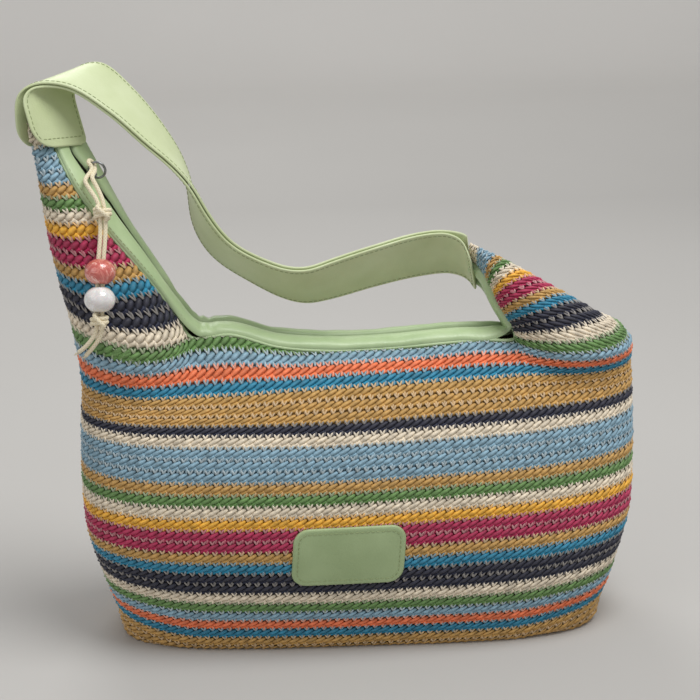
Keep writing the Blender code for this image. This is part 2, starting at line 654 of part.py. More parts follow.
def zip_frame(arcs, normals):
    """Middle line of the zip with the ways across it and out of it, straight along the slider's run."""
    first = ZIP_FIRST
    middle = mouth_point(arcs, normals, 0.5, -ZIP_DEPTH)[first:ZIP_LAST]
    across = unit(mouth_point(arcs, normals, 0.58, 0.0) - mouth_point(arcs, normals, 0.42, 0.0))
    across = across[first:ZIP_LAST]
    last = ZIP_STRAIGHT
    centre = middle[1:last + 1].mean(axis=0)
    run = unit(middle[last] - middle[1])
    for i in range(last + 1):
        middle[i] = centre + ((middle[i] - centre) @ run) * run
    level = unit(across[1:last + 1].mean(axis=0))
    across[:last + 1] = unit(level - (level @ run) * run)
    along = unit(np.gradient(middle, axis=0))
    along[:last + 1] = run
    across = unit(across - np.sum(across * along, axis=1, keepdims=True) * along)
    return middle, across, unit(np.cross(along, across)), run


def zip_shares(arcs, frame):
    """Share of every mouth arc that lies right over the zip's middle line."""
    middle, _, out, run = frame
    shares = np.full(len(arcs), 0.5)
    for i in range(ZIP_FIRST + ZIP_STRAIGHT + 1):
        from_line = arcs[i] - (middle[0] + out[0] * ZIP_DEPTH)
        from_line = from_line - (from_line @ run)[:, None] * run
        shares[i] = np.argmin(np.linalg.norm(from_line, axis=1)) / (arcs.shape[1] - 1)
    return np.clip(shares, 0.34, 0.66)


def zip_strip(name, look, frame, inner, outer, low, high):
    """A bar of oblong section beside the zip's middle line."""
    middle, across, out = frame[:3]
    reach = np.full(len(middle), outer)
    reach[0] = inner + (outer - inner) * TAPE_FOLDED
    corners = ((inner, low), (reach, low), (reach, high), (inner, high))
    rings = np.stack([middle + np.reshape(a, (-1, 1)) * across + h * out for a, h in corners], axis=1)
    return closed_loft(name, rings, look)


def box(shell, centre, axes, halves):
    corners = [np.asarray(centre) + sum(s * h * np.asarray(a) for s, h, a in zip(signs, halves, axes))
               for signs in ((-1, -1, -1), (1, -1, -1), (1, 1, -1), (-1, 1, -1),
                             (-1, -1, 1), (1, -1, 1), (1, 1, 1), (-1, 1, 1))]
    n = shell.add(corners)
    for face in ((0, 3, 2, 1), (4, 5, 6, 7), (0, 1, 5, 4), (1, 2, 6, 5), (2, 3, 7, 6), (3, 0, 4, 7)):
        shell.faces.append(tuple(n[k] for k in face))


def slider_axes(frame):
    """Place of the slider on the zip, and its ways along, across and out."""
    middle, across, out, run = frame
    start = middle[0] + run * SLIDER_FROM_TOP + out[0] * TOOTH_DROP
    return start, run, across[0], out[0]


def build_slider(frame, look):
    start, run, across, out = slider_axes(frame)
    low = start - out * (SEAM_GAP + SLIDER_PLATE / 2)
    high = start + out * (TOOTH_HEIGHT + SEAM_GAP + SLIDER_PLATE / 2)
    half = SLIDER_LENGTH / 2
    neck = (TOOTH_HEIGHT + 2 * SEAM_GAP + SLIDER_PLATE) / 2
    lug = high + out * (SLIDER_PLATE / 2 + LUG_HEIGHT / 2 - 0.0002)
    axes = (run, across, out)
    shell = Shell()
    box(shell, low, axes, (half, SLIDER_WIDTH / 2, SLIDER_PLATE / 2))
    slider = add_object("zip_slider", shell.points, shell.faces, look)
    for name, centre, halves, operation in (
            ("slider_top", high, (half, SLIDER_WIDTH / 2, SLIDER_PLATE / 2), "UNION"),
            ("slider_neck", (low + high) / 2, (half * 0.45, SLIDER_NECK, neck), "UNION"),
            ("slider_lug", lug, (LUG_THICKNESS / 2, LUG_WIDTH / 2, LUG_HEIGHT / 2), "UNION"),
            ("slider_eye", lug + out * LUG_EYE_UP, (LUG_THICKNESS, LUG_WIDTH / 2 - LUG_RIM, LUG_EYE / 2),
             "DIFFERENCE")):
        piece = Shell()
        box(piece, centre, axes, halves)
        unite(slider, add_object(name, piece.points, piece.faces, look), operation)
    return lug + out * LUG_EYE_UP


def unite(body, tool, operation):
    """Adds the tool to the body, or cuts it away, then drops the tool."""
    step = body.modifiers.new(tool.name, "BOOLEAN")
    step.object = tool
    step.operation = operation
    step.solver = "EXACT"
    bpy.context.view_layer.update()
    mesh = bpy.data.meshes.new_from_object(body.evaluated_get(bpy.context.evaluated_depsgraph_get()))
    body.modifiers.clear()
    body.data = mesh
    bpy.data.objects.remove(tool, do_unlink=True)


def build_trim(leather, tape, teeth, metal):
    arcs, normals = mouth_lines()
    frame = zip_frame(arcs, normals)
    middle_share = zip_shares(arcs, frame)
    low = np.array([FACING_STARTS[0] if part == "middle" else FACING_STARTS[1] for part, _ in MOUTH_STATIONS])
    corner = [(part == "middle" and place > 0.8) or (part == "right" and place < BACK_CORNER_ROW + 1)
              for part, place in MOUTH_STATIONS]
    back_low = np.where(corner, FACING_CORNER_START, low)
    for name, reach in (("facing_front", (low, middle_share - FACING_GAP)),
                        ("facing_back", (middle_share + FACING_GAP, 1 - back_low))):
        mouth_strip(name, leather, arcs, normals, reach, FACING_LIFT, FACING_THICKNESS, 0.0008)
    for name, side in (("piping_front", -1), ("piping_back", 1)):
        tube(name, piping_line(side), PIPING_RADIUS, 5, leather)
    for name, side in (("front", -1), ("back", 1)):
        zip_strip("zip_tape_" + name, tape, frame, side * TAPE_INNER, side * TAPE_OUTER, 0.0, TAPE_THICKNESS)
        zip_strip("zip_teeth_" + name, teeth, frame, side * TOOTH_SLOT, side * (TOOTH_SLOT + TOOTH_WIDTH),
                  TOOTH_DROP, TOOTH_DROP + TOOTH_HEIGHT)
    return frame


def soften(values, rounds):
    """Evens out a dense line, its two ends held."""
    values = values.copy()
    for _ in range(rounds):
        values[1:-1] = (values[:-2] + 2 * values[1:-1] + values[2:]) / 4
    return values


def build_strap(look):
    route = np.array([np.concatenate([c, a, [s]]) for c, a, s in STRAP_ROUTE])
    length = np.concatenate([[0], np.cumsum(np.linalg.norm(np.diff(route[:, :3], axis=0), axis=1))])
    fine = np.linspace(0, length[-1], 600)
    dense = soften(through(length, route, fine), STRAP_SOFTENING)
    along = unit(np.gradient(dense[:, :3], axis=0))
    across = unit(dense[:, 3:6])
    turn = np.concatenate([[0], np.arccos(np.clip(np.sum(along[1:] * along[:-1], axis=1), -1, 1))])
    weight = np.cumsum(1 / len(fine) + STRAP_FOLLOWS_BENDS * turn / turn.sum())
    between = np.interp(np.linspace(weight[18], weight[-18], STRAP_STATIONS), weight, fine)
    places = np.concatenate([[0, 0.003, 0.007], between, length[-1] - np.array([0.007, 0.003, 0])])

    def at_places(values):
        return np.stack([np.interp(places, fine, column) for column in values.T], axis=1)

    line = at_places(dense)
    across = unit(at_places(across))
    inside = unit(np.cross(across, at_places(along)))
    shape = np.interp(np.minimum(places, places[-1] - places), (0, 0.003, 0.008, 0.012), (0.70, 0.90, 1.0, 1.0))
    half = (STRAP_WIDTH / 2 * shape)[:, None]
    spread = np.maximum(line[:, 6:7], 0.0)
    for name, side, open_by in (("strap_inner_ply", 1, TAB_SPREAD_INSIDE),
                                ("strap_outer_ply", -1, TAB_SPREAD_OUTSIDE)):
        middle = line[:, :3] + side * inside * ((PLY_THICKNESS + PLY_GAP) / 2 + open_by * spread)
        rings = np.stack([middle + a * half * across + h * PLY_THICKNESS / 2 * inside
                          for a, h in ((-1, -1), (0, -1), (1, -1), (1, 1), (0, 1), (-1, 1))], axis=1)
        closed_loft(name, rings, look)


def build_patch(look):
    half_height = PATCH_HEIGHT_ROWS / 2
    tall = PATCH_HEIGHT_ROWS * 0.0071 / 2
    shell = Shell()
    skins = []
    for lift in (RIDGE + SEAM_GAP, RIDGE + SEAM_GAP + PATCH_THICKNESS):
        grid = []
        for v in (-1, -0.93, -0.78, -0.52, 0.0, 0.52, 0.78, 0.93, 1):
            cut = max(0.0, abs(v) * tall - (tall - PATCH_CORNER))
            reach = PATCH_LENGTH / 2 - PATCH_CORNER + math.sqrt(max(0.0, PATCH_CORNER**2 - cut**2))
            x = PATCH_X + np.linspace(-reach, reach, 5)
            shares = (x - MOUTH_LEFT) / (MOUTH_RIGHT - MOUTH_LEFT)
            grid.append(raised(-1, "middle", shares, [PATCH_ROW + v * half_height], lift)[0])
        skins.append(shell.grid(np.array(grid)))
    lower, upper = skins
    for cut in ((0, slice(None)), (-1, slice(None)), (slice(None), 0), (slice(None), -1)):
        shell.join_lines(lower[cut], upper[cut], range(len(lower[cut])), range(len(lower[cut])))
    add_object("leather_patch", shell.points, shell.faces, look)


def bored_body(name, centre, axis, lateral, profile, stretch, bore, sides, look):
    """A bead or knot: an outer profile of (radius, height) turned about an axis, with a bore."""
    axis = unit(axis)
    lateral = unit(np.asarray(lateral) - (np.asarray(lateral) @ axis) * axis)
    over = np.cross(axis, lateral)
    top = profile[-1][1]
    round_bore = bore[0] == bore[1]
    rings = []
    for k in range(sides):
        c = math.cos(2 * math.pi * k / sides)
        t = math.sin(2 * math.pi * k / sides)
        turn = stretch * c * lateral + t * over
        power = 1.0 if round_bore else 0.5
        hole = (bore[0] * math.copysign(abs(c)**power, c) * lateral
                + bore[1] * math.copysign(abs(t)**power, t) * over)
        ring = [centre + radius * turn + height * axis for radius, height in profile]
        ring += [centre + hole + top * axis, centre + hole - top * axis]
        rings.append(ring)
    ring_loft(name, rings, look)


def ring_frame(eye, frame):
    """Middle of the pull ring, the way to its top, and the way out of its face, from the slider's eye."""
    _, run, _, out = slider_axes(frame)
    tilt = math.radians(RING_TILT)
    down_slope = run * math.cos(tilt) + out * math.sin(tilt)
    rise = out * math.cos(tilt) - run * math.sin(tilt)
    centre = eye + rise * RING_RADIUS
    face = unit(np.cross(down_slope, rise))
    turn = math.radians(CHARM_AROUND)
    return centre, rise * math.cos(turn) - down_slope * math.sin(turn), face, rise, down_slope


def charm_lines(eye, frame):
    """The charm cord's middle line from one frayed end to the other, and the middle of its stem."""
    centre, up, face = ring_frame(eye, frame)[:3]
    wire = centre + up * RING_RADIUS
    clear = RING_WIRE + CORD / 2 + SEAM_GAP
    route = np.array(STEM_ROUTE)
    length = np.concatenate([[0], np.cumsum(np.linalg.norm(np.diff(route, axis=0), axis=1))])
    stem = through(length, route, np.linspace(0.0, length[-1], 46))
    down = unit(np.gradient(stem, axis=0))
    lateral = np.array(STRAND_SIDE)
    beside = unit(lateral - (down @ lateral)[:, None] * down) * (CORD + STRAND_GAP) / 2
    fray = 1 + np.linspace(0, 1, 46)[:, None]**12 * 0.8
    left = stem - beside * fray
    right = stem + beside * fray
    # The left strand runs up in front of the wire, over it and back through the ring into the right strand
    over = [wire + face * clear - up * 0.0008, wire + face * clear * 0.72 + up * clear * 0.72, wire + up * clear,
            wire - face * clear * 0.72 + up * clear * 0.72, wire - face * clear, wire - face * clear * 0.72
            - up * clear * 0.75, wire - up * (clear + 0.0004), wire + face * clear - up * (clear + 0.0014)]
    knots = np.vstack([left[::-1], over, right])
    places = np.concatenate([[0], np.cumsum(np.linalg.norm(np.diff(knots, axis=0), axis=1))])
    half = places[len(left) - 1], places[len(left) + len(over)]
    side_points = (CORD_POINTS - CORD_LOOP_POINTS) // 2
    at = np.concatenate([np.linspace(0, half[0], side_points), np.linspace(*half, CORD_LOOP_POINTS + 2)[1:-1],
                         np.linspace(half[1], places[-1], side_points)])
    return through(places, knots, at), stem, down


def build_charm(eye, frame, cord_look, pink, white, metal):
    centre, up, face, rise, down_slope = ring_frame(eye, frame)
    rings = []
    for k in range(16):
        a = 2 * math.pi * k / 16
        radial = math.cos(a) * rise + math.sin(a) * down_slope
        rings.append([centre + radial * (RING_RADIUS + RING_WIRE * math.cos(b)) + face * RING_WIRE * math.sin(b)
                      for b in np.arange(5) * 2 * math.pi / 5])
    ring_loft("pull_ring", rings, metal)
    line, stem, down = charm_lines(eye, frame)
    curve = bpy.data.curves.new("charm_cord", "CURVE")
    curve.dimensions = "3D"
    curve.bevel_depth = CORD / 2
    curve.bevel_resolution = 2
    curve.use_fill_caps = True
    spline = curve.splines.new("POLY")
    spline.points.add(len(line) - 1)
    for point, place in zip(spline.points, line):
        point.co = (*place, 1.0)
    curve.materials.append(cord_look)
    cord = bpy.data.objects.new("charm_cord", curve)
    bpy.context.scene.collection.objects.link(cord)
    round_bore = CORD + STRAND_GAP / 2 + BORE_ROOM
    knot_bore = (CORD + STRAND_GAP / 2 + BORE_ROOM, CORD / 2 + BORE_ROOM)
    bead = [(BEAD_RADIUS * math.cos(a), BEAD_SQUASH * BEAD_RADIUS * math.sin(a))
            for a in np.radians((-66, -38, -13, 13, 38, 66))]
    wraps = [(KNOT_RADIUS * r, KNOT_HALF_HEIGHT * h) for r, h in
             ((0.72, -1.0), (1.0, -0.72), (0.86, -0.36), (1.05, 0.0), (0.86, 0.36), (1.0, 0.72), (0.72, 1.0))]
    for name, at, look, profile, stretch, bore, sides in (
            ("pink_bead", PINK_BEAD_AT, pink, bead, 1.0, (round_bore, round_bore), 12),
            ("white_bead", WHITE_BEAD_AT, white, bead, 1.0, (round_bore, round_bore), 12),
            ("upper_knot", UPPER_KNOT_AT, cord_look, wraps, 1.15, knot_bore, 10),
            ("lower_knot", LOWER_KNOT_AT, cord_look, wraps, 1.15, knot_bore, 10)):
        nearest = int(np.argmin(np.linalg.norm(stem - np.asarray(at), axis=1)))
        bored_body(name, np.asarray(at), -down[nearest], STRAND_SIDE, profile, stretch, bore, sides, look)


def build():
    for old in list(bpy.data.objects):
        bpy.data.objects.remove(old, do_unlink=True)
    straw = material("woven_straw_stripes", (0.62, 0.52, 0.38), 0.8)
    leather = material("mint_leather", (0.55, 0.68, 0.46), 0.45)
    cotton = material("lining_cotton", (0.78, 0.76, 0.70), 0.9)
    tape = material("zip_tape", (0.45, 0.55, 0.40), 0.85)
    teeth = material("zip_coil", (0.50, 0.58, 0.44), 0.5)
    metal = material("nickel_metal", (0.55, 0.55, 0.56), 0.3, 1.0)
    cord_look = material("cream_cord", (0.87, 0.80, 0.64), 0.85)
    pink = material("pink_bead_resin", (0.74, 0.24, 0.22), 0.25)
    white = material("white_bead_resin", (0.85, 0.83, 0.78), 0.2)
    woven_panel("woven_front", -1, straw)
    woven_panel("woven_back", 1, straw)
    lining(cotton)
    frame = build_trim(leather, tape, teeth, metal)
    build_strap(leather)
    build_patch(leather)
    eye = build_slider(frame, metal)
    build_charm(eye, frame, cord_look, pink, white, metal)


build()
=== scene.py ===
# A striped, machine-crocheted paper-straw shoulder bag with mint leather strap, bands, piping and
# patch, a zip along its mouth and a doubled cotton cord with two beads on the zip's ring.
import math

import bmesh
import bpy
import numpy as np
from mathutils import Matrix, Vector


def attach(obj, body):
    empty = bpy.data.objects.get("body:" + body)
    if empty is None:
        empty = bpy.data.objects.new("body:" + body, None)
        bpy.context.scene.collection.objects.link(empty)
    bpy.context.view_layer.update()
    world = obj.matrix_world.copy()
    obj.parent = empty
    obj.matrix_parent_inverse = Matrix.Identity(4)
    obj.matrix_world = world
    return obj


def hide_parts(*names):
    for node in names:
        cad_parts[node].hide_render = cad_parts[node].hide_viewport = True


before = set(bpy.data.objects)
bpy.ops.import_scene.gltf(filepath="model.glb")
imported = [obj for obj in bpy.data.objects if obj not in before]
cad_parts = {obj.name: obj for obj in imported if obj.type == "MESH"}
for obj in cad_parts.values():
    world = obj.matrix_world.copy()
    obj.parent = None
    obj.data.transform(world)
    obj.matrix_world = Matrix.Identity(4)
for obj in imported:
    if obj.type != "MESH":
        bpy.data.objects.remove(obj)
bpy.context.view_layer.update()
print("frame loaded")


# Small helpers
def linear(hexColour):
    parts = [int(hexColour[i:i + 2], 16) / 255 for i in (1, 3, 5)]
    return tuple(p / 12.92 if p <= 0.04045 else ((p + 0.055) / 1.055) ** 2.4 for p in parts) + (1.0,)


def put(tree, kind, inputs=None, **settings):
    node = tree.nodes.new(kind)  # a node with its settings, values and links
    for key, value in settings.items():
        setattr(node, key, value)
    for key, value in (inputs or {}).items():
        if isinstance(value, bpy.types.NodeSocket):
            tree.links.new(value, node.inputs[key])
        else:
            node.inputs[key].default_value = value
    return node


def unit(vectors):
    vectors = np.asarray(vectors, float)
    return vectors / np.maximum(np.linalg.norm(vectors, axis=-1, keepdims=True), 1e-12)


def ease(low, high, x):
    t = np.clip((np.asarray(x, float) - low) / (high - low), 0, 1)
    return t * t * (3 - 2 * t)


def through(knots, values, at):
    # a smooth curve through the values at the knots
    knots = np.asarray(knots, float)
    values = np.asarray(values, float)
    at = np.atleast_1d(np.asarray(at, float))
    step = np.diff(knots)
    shape = (-1,) + (1,) * (values.ndim - 1)
    rate = np.diff(values, axis=0) / step.reshape(shape)
    before = step[:-1].reshape(shape)
    after = step[1:].reshape(shape)
    middle = (rate[:-1] * after + rate[1:] * before) / (before + after)
    slope = np.concatenate([rate[:1], middle, rate[-1:]])
    cell = np.clip(np.searchsorted(knots, at, "right") - 1, 0, len(knots) - 2)
    width = step[cell]
    t = ((at - knots[cell]) / width).reshape(shape)
    width = width.reshape(shape)
    return ((2 * t**3 - 3 * t**2 + 1) * values[cell] + (t**3 - 2 * t**2 + t) * width * slope[cell]
            + (3 * t**2 - 2 * t**3) * values[cell + 1] + (t**3 - t**2) * width * slope[cell + 1])


def lengthsOf(line):
    return np.concatenate([[0], np.cumsum(np.linalg.norm(np.diff(line, axis=0), axis=1))])


def columnsAt(at, places, values):
    return np.stack([np.interp(at, places, column) for column in np.asarray(values).T], axis=1)


def byLength(line, shares):
    length = lengthsOf(line)
    return columnsAt(np.asarray(shares, float) * length[-1], length, line)


def smoothLine(line, count):
    # the same line on a smooth curve, with evenly spread points
    length = lengthsOf(line)
    return through(length, line, np.linspace(0, length[-1], count))


def meshObject(name, points, faces, look=None, smooth=True):
    mesh = bpy.data.meshes.new(name)
    mesh.from_pydata(np.asarray(points, float).reshape(-1, 3).tolist(), [], faces)
    mesh.update()
    if smooth:
        mesh.shade_smooth()
    if look:
        mesh.materials.append(look)
    made = bpy.data.objects.new(name, mesh)
    bpy.context.scene.collection.objects.link(made)
    return made


def gridFaces(rows, columns, start=0, wrap=False):
    faces = []
    for r in range(rows - 1):
        for c in range(columns if wrap else columns - 1):
            nextC = (c + 1) % columns
            a = start + r * columns
            faces.append((a + c, a + nextC, a + columns + nextC, a + columns + c))
    return faces


def outward(made):
    work = bmesh.new()
    work.from_mesh(made.data)
    bmesh.ops.recalc_face_normals(work, faces=work.faces)
    work.to_mesh(made.data)
    work.free()
    return made


def loft(name, rings, look, closedLoop=False, smooth=True):
    # a body through closed rings of points, capped at both ends or joined end to end
    rings = np.asarray(rings, float)
    count, sides = rings.shape[:2]
    faces = gridFaces(count, sides, 0, True)
    if closedLoop:
        last = (count - 1) * sides
        faces += [(last + c, last + (c + 1) % sides, (c + 1) % sides, c) for c in range(sides)]
    else:
        faces += [tuple(range(sides)), tuple(range((count - 1) * sides, count * sides))]
    return outward(meshObject(name, rings, faces, look, smooth))


def newGroup(name, inputs):
    # a geometry node group that gives a mesh, and the identifiers of its inputs
    tree = bpy.data.node_groups.new(name, "GeometryNodeTree")
    sockets = {}
    for key, kind in inputs.items():
        made = tree.interface.new_socket(key, in_out="INPUT", socket_type="NodeSocket" + kind)
        sockets[key] = made.identifier
    tree.interface.new_socket("Geometry", in_out="OUTPUT", socket_type="NodeSocketGeometry")
    return tree, sockets


def addAttribute(made, name, kind, domain, values):
    layer = made.data.attributes.new(name, kind, domain)
    field = {"FLOAT": "value", "FLOAT_VECTOR": "vector", "FLOAT_COLOR": "color"}[kind]
    layer.data.foreach_set(field, np.asarray(values, np.float32).ravel())


def finished(made):
    # applies the modifiers, so that what is left is a plain mesh
    graph = bpy.context.evaluated_depsgraph_get()
    mesh = bpy.data.meshes.new_from_object(made.evaluated_get(graph), preserve_all_data_layers=True,
                                           depsgraph=graph)
    made.modifiers.clear()
    made.data = mesh
    return made


def grouped(made, name, group, values):
    # the plain mesh that a node group makes of an object
    tree, sockets = group
    layer = made.modifiers.new(name, "NODES")
    layer.node_group = tree
    for key, value in values.items():
        layer[sockets[key]] = value
    return finished(made)


def placed(piece, body, node=None):
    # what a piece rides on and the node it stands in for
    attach(piece, body)
    if node:
        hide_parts(node)
    return piece


# The bag's form, as in the frame
bag = {
    "bodyRows": 27, "earRows": 17, "cloth": 0.0016, "ridge": 0.0009, "halfSeam": 0.00015,
    "halfLength": 0.164, "halfDepth": 0.060, "rimHeight": 0.175,
    "bottomHalfLength": 0.1465, "bottomHalfDepth": 0.046, "bottomRounding": 0.003,
    "shift": 0.003, "cornerLift": 0.019, "liftedRows": 13,
    "mouthLeft": -0.097, "mouthRight": 0.091, "riseLeft": 0.016, "riseRight": 0.004, "crown": 0.004,
    "riseLeftEnd": -0.025, "riseRightStart": 0.03, "pinchFrom": 0.150, "pinchFull": 0.090,
    "liftPower": 1.4, "endBlend": 0.03, "footHeight": 0.0007, "underHeight": 0.0009,
    "footCurve": (0.18, 0.18, 0), "underShare": (0.80, 0.55, 1),
}
wall = {
    "rows": (0, 5, 10, 15, 20, 24),
    "height": (0.017, 0.205, 0.406, 0.606, 0.797, 0.920),
    "lengthBulge": (0.0, 0.46, 0.93, 1.0, 0.93, 0.86),
    "depthBulge": (0.0, 0.70, 1.0, 0.97, 0.62, 0.20),
    "corner": (3.6, 3.2, 3.0, 2.8, 2.7, 2.5),
    "turn": (-4.0, -3.0, -1.0, 0.0, 0.0, 0.0),
    "pinch": (0.0, 0.0, 0.0, 0.0, 0.04, 0.27),
}
# row, centre, towards the back edge, towards the inside, half width, half thickness, then how far
# round the front and the back go, in degrees
leftEar = (
    (27, (-0.1290, 0.000, 0.1870), (0.00, 1.00, 0.00), (1.00, 0.00, 0.00), 0.0345, 0.0325, 156, 156),
    (31, (-0.1400, 0.000, 0.2210), (0.21, 0.98, 0.00), (0.98, -0.21, 0.00), 0.0285, 0.0285, 153, 148),
    (35, (-0.1515, 0.000, 0.2510), (0.42, 0.91, 0.00), (0.91, -0.42, 0.00), 0.0238, 0.0215, 147, 140),
    (39, (-0.1600, 0.001, 0.2800), (0.62, 0.78, 0.00), (0.78, -0.62, 0.00), 0.0205, 0.0130, 142, 132),
    (42, (-0.1665, 0.0013, 0.2998), (0.70, 0.71, 0.00), (0.71, -0.70, 0.00), 0.0172, 0.0040, 156, 104),
    (44, (-0.1708, 0.002, 0.3130), (0.74, 0.67, 0.00), (0.67, -0.74, 0.00), 0.0145, 0.0015, 164, 86),
)
rightEar = (
    (27, (0.1270, 0.000, 0.1760), (0.00, 1.00, 0.00), (-1.00, 0.00, 0.00), 0.0380, 0.0360, 158, 158),
    (30, (0.1170, 0.000, 0.1850), (0.20, 0.93, -0.30), (-0.95, 0.10, -0.20), 0.0330, 0.0250, 155, 152),
    (34, (0.1010, 0.002, 0.1980), (0.33, 0.82, -0.47), (-0.88, 0.10, -0.40), 0.0270, 0.0160, 150, 144),
    (38, (0.0870, 0.006, 0.2090), (0.30, 0.72, -0.62), (-0.65, -0.30, -0.60), 0.0220, 0.0090, 150, 126),
    (42, (0.0765, 0.0095, 0.2165), (0.25, 0.64, -0.72), (-0.40, -0.57, -0.63), 0.0185, 0.0036, 158, 102),
    (44, (0.0710, 0.011, 0.2195), (0.22, 0.60, -0.77), (-0.29, -0.71, -0.64), 0.0170, 0.0018, 164, 86),
)
topRow = bag["bodyRows"] + bag["earRows"]


def mouthHeight(x):
    rise = bag["riseLeft"] * (1 - ease(bag["mouthLeft"], bag["riseLeftEnd"], x))
    right = bag["riseRight"] * ease(bag["riseRightStart"], bag["mouthRight"], x)
    return bag["rimHeight"] + rise + right


def earFrame(section):
    _, centre, across, inward, halfWidth, halfThickness, frontEnd, backEnd = section
    across = unit(across)
    inward = np.asarray(inward, float)
    inward = unit(inward - (inward @ across) * across)
    return np.asarray(centre, float), across, inward, halfWidth, halfThickness, frontEnd, backEnd


def earArc(section, side, shares):
    # one row of an ear, from its outer seam to the rim of the front (side -1) or the back (+1)
    centre, across, inward, halfWidth, halfThickness, frontEnd, backEnd = earFrame(section)
    angle = np.linspace(0, math.radians(frontEnd if side < 0 else backEnd), 160)
    out = -np.cos(angle)[:, None] * halfThickness * inward
    over = (side * (bag["halfSeam"] + halfWidth * np.sin(angle)))[:, None] * across
    return byLength(centre + out + over, shares)


def wallRing(station, side, part, shares):
    row = wall["rows"][station]
    halfLength = (bag["bottomHalfLength"] + wall["lengthBulge"][station]
                  * (bag["halfLength"] - bag["bottomHalfLength"]))
    halfDepth = (bag["bottomHalfDepth"] + wall["depthBulge"][station]
                 * (bag["halfDepth"] - bag["bottomHalfDepth"]))
    power = wall["corner"][station]
    shares = np.asarray(shares, float)
    if part == "middle":
        x = bag["mouthLeft"] + (bag["mouthRight"] - bag["mouthLeft"]) * shares
        y = halfDepth * (1 - np.abs((x - bag["shift"]) / halfLength)**power)**(1 / power)
    else:
        corner = bag["mouthLeft"] if part == "left" else bag["mouthRight"]
        sign = -1 if part == "left" else 1
        inner = abs(corner - bag["shift"]) / halfLength
        angle = np.linspace(0, math.acos(inner**(power / 2)), 300)
        arcX = bag["shift"] + sign * halfLength * np.cos(angle)**(2 / power)
        x, y = byLength(np.stack([arcX, halfDepth * np.sin(angle)**(2 / power)], axis=1), shares).T
    pinch = wall["pinch"][station] * ease(bag["pinchFrom"], bag["pinchFull"], np.abs(x - bag["shift"]))
    y = side * (bag["halfSeam"] + y * (1 - pinch))
    reach = 0 * shares if part == "middle" else 1 - shares
    lift = (bag["cornerLift"] * reach**bag["liftPower"]
            * max(0.0, 1 - row / bag["liftedRows"])**2)
    z = bag["rimHeight"] * wall["height"][station] + lift
    turn = math.radians(wall["turn"][station])
    return np.stack([x * math.cos(turn) - y * math.sin(turn),
                     x * math.sin(turn) + y * math.cos(turn), z], axis=1)


def clothAt(side, part, shares, rows):
    # a grid of points on the cloth, rows by shares, each share counted from the outer seam
    knots = list(wall["rows"])
    rings = [wallRing(i, side, part, shares) for i in range(len(knots))]
    if part == "middle":
        left = earArc(leftEar[0], side, [1.0])[0]
        right = earArc(rightEar[0], side, [1.0])[0]
        x, y = (left[:2] + (right - left)[:2] * np.asarray(shares, float)[:, None]).T
        blend = bag["endBlend"]
        z = mouthHeight(x) + (left[2] - mouthHeight(left[0])) * (1 - ease(left[0], left[0] + blend, x))
        z = z + (right[2] - mouthHeight(right[0])) * ease(right[0] - blend, right[0], x)
        rings.append(np.stack([x, y, z], axis=1))
        knots.append(bag["bodyRows"])
    else:
        for section in leftEar if part == "left" else rightEar:
            rings.append(earArc(section, side, shares))
            knots.append(section[0])
    return through(knots, np.stack(rings), rows)


def clothNormals(side, part, shares, rows):
    shares = np.asarray(shares, float)
    rows = np.asarray(rows, float)
    top = bag["bodyRows"] if part == "middle" else topRow
    along = (clothAt(side, part, np.clip(shares + 0.01, 0, 1), rows)
             - clothAt(side, part, np.clip(shares - 0.01, 0, 1), rows))
    upward = (clothAt(side, part, shares, np.clip(rows + 0.05, 0, top))
              - clothAt(side, part, shares, np.clip(rows - 0.05, 0, top)))
    normal = unit(np.cross(along, upward))
    return normal * (-side if part != "right" else side)


# Materials
def newMaterial(name, roughness=0.5, metallic=0.0, **sockets):
    made = bpy.data.materials.new(name)
    made.use_nodes = True
    shader = made.node_tree.nodes["Principled BSDF"]
    shader.inputs["Roughness"].default_value = roughness
    shader.inputs["Metallic"].default_value = metallic
    for key, value in sockets.items():
        shader.inputs[key.replace("_", " ")].default_value = value
    return made, made.node_tree, shader


def paperStraw(name, shade):
    # paper straw, slit, twisted and crocheted: dry, faintly waxy strands, each dyed a little unevenly;
    # painted highlight: each strand is mixed toward a light cream for the paper's edges catching the
    # light
    made, tree, shader = newMaterial(name, 0.55, Specular_IOR_Level=0.35)
    yarn = put(tree, "ShaderNodeAttribute", attribute_name="yarn")
    paintedHighlight = put(tree, "ShaderNodeAttribute", attribute_name="paintedHighlight")
    place = put(tree, "ShaderNodeTexCoord").outputs["Object"]
    blotch = put(tree, "ShaderNodeTexNoise", {"Vector": place, "Scale": 260.0, "Detail": 3.0})
    fibre = put(tree, "ShaderNodeTexNoise", {"Vector": place, "Scale": 1900.0, "Detail": 2.0})
    # a shade below 1 darkens the whole colour, as painted shade
    vary = put(tree, "ShaderNodeMapRange", {"Value": blotch.outputs["Fac"], "From Min": 0.3,
                                            "From Max": 0.7, "To Min": 0.70 * shade,
                                            "To Max": 1.22 * shade})
    value = put(tree, "ShaderNodeHueSaturation", {"Color": yarn.outputs["Color"],
                                                  "Value": vary.outputs["Result"]})
    # painted highlight: each strand's share mixes its colour toward a light cream
    highlighted = put(tree, "ShaderNodeMix", {"Factor": paintedHighlight.outputs["Fac"], 6: value.outputs["Color"],
                                       7: linear("#F6EEE0")}, data_type="RGBA")
    tree.links.new(highlighted.outputs[2], shader.inputs["Base Color"])
    bump = put(tree, "ShaderNodeBump", {"Height": fibre.outputs["Fac"], "Strength": 0.5,
                                        "Distance": 0.00025})
    tree.links.new(bump.outputs["Normal"], shader.inputs["Normal"])
    return made


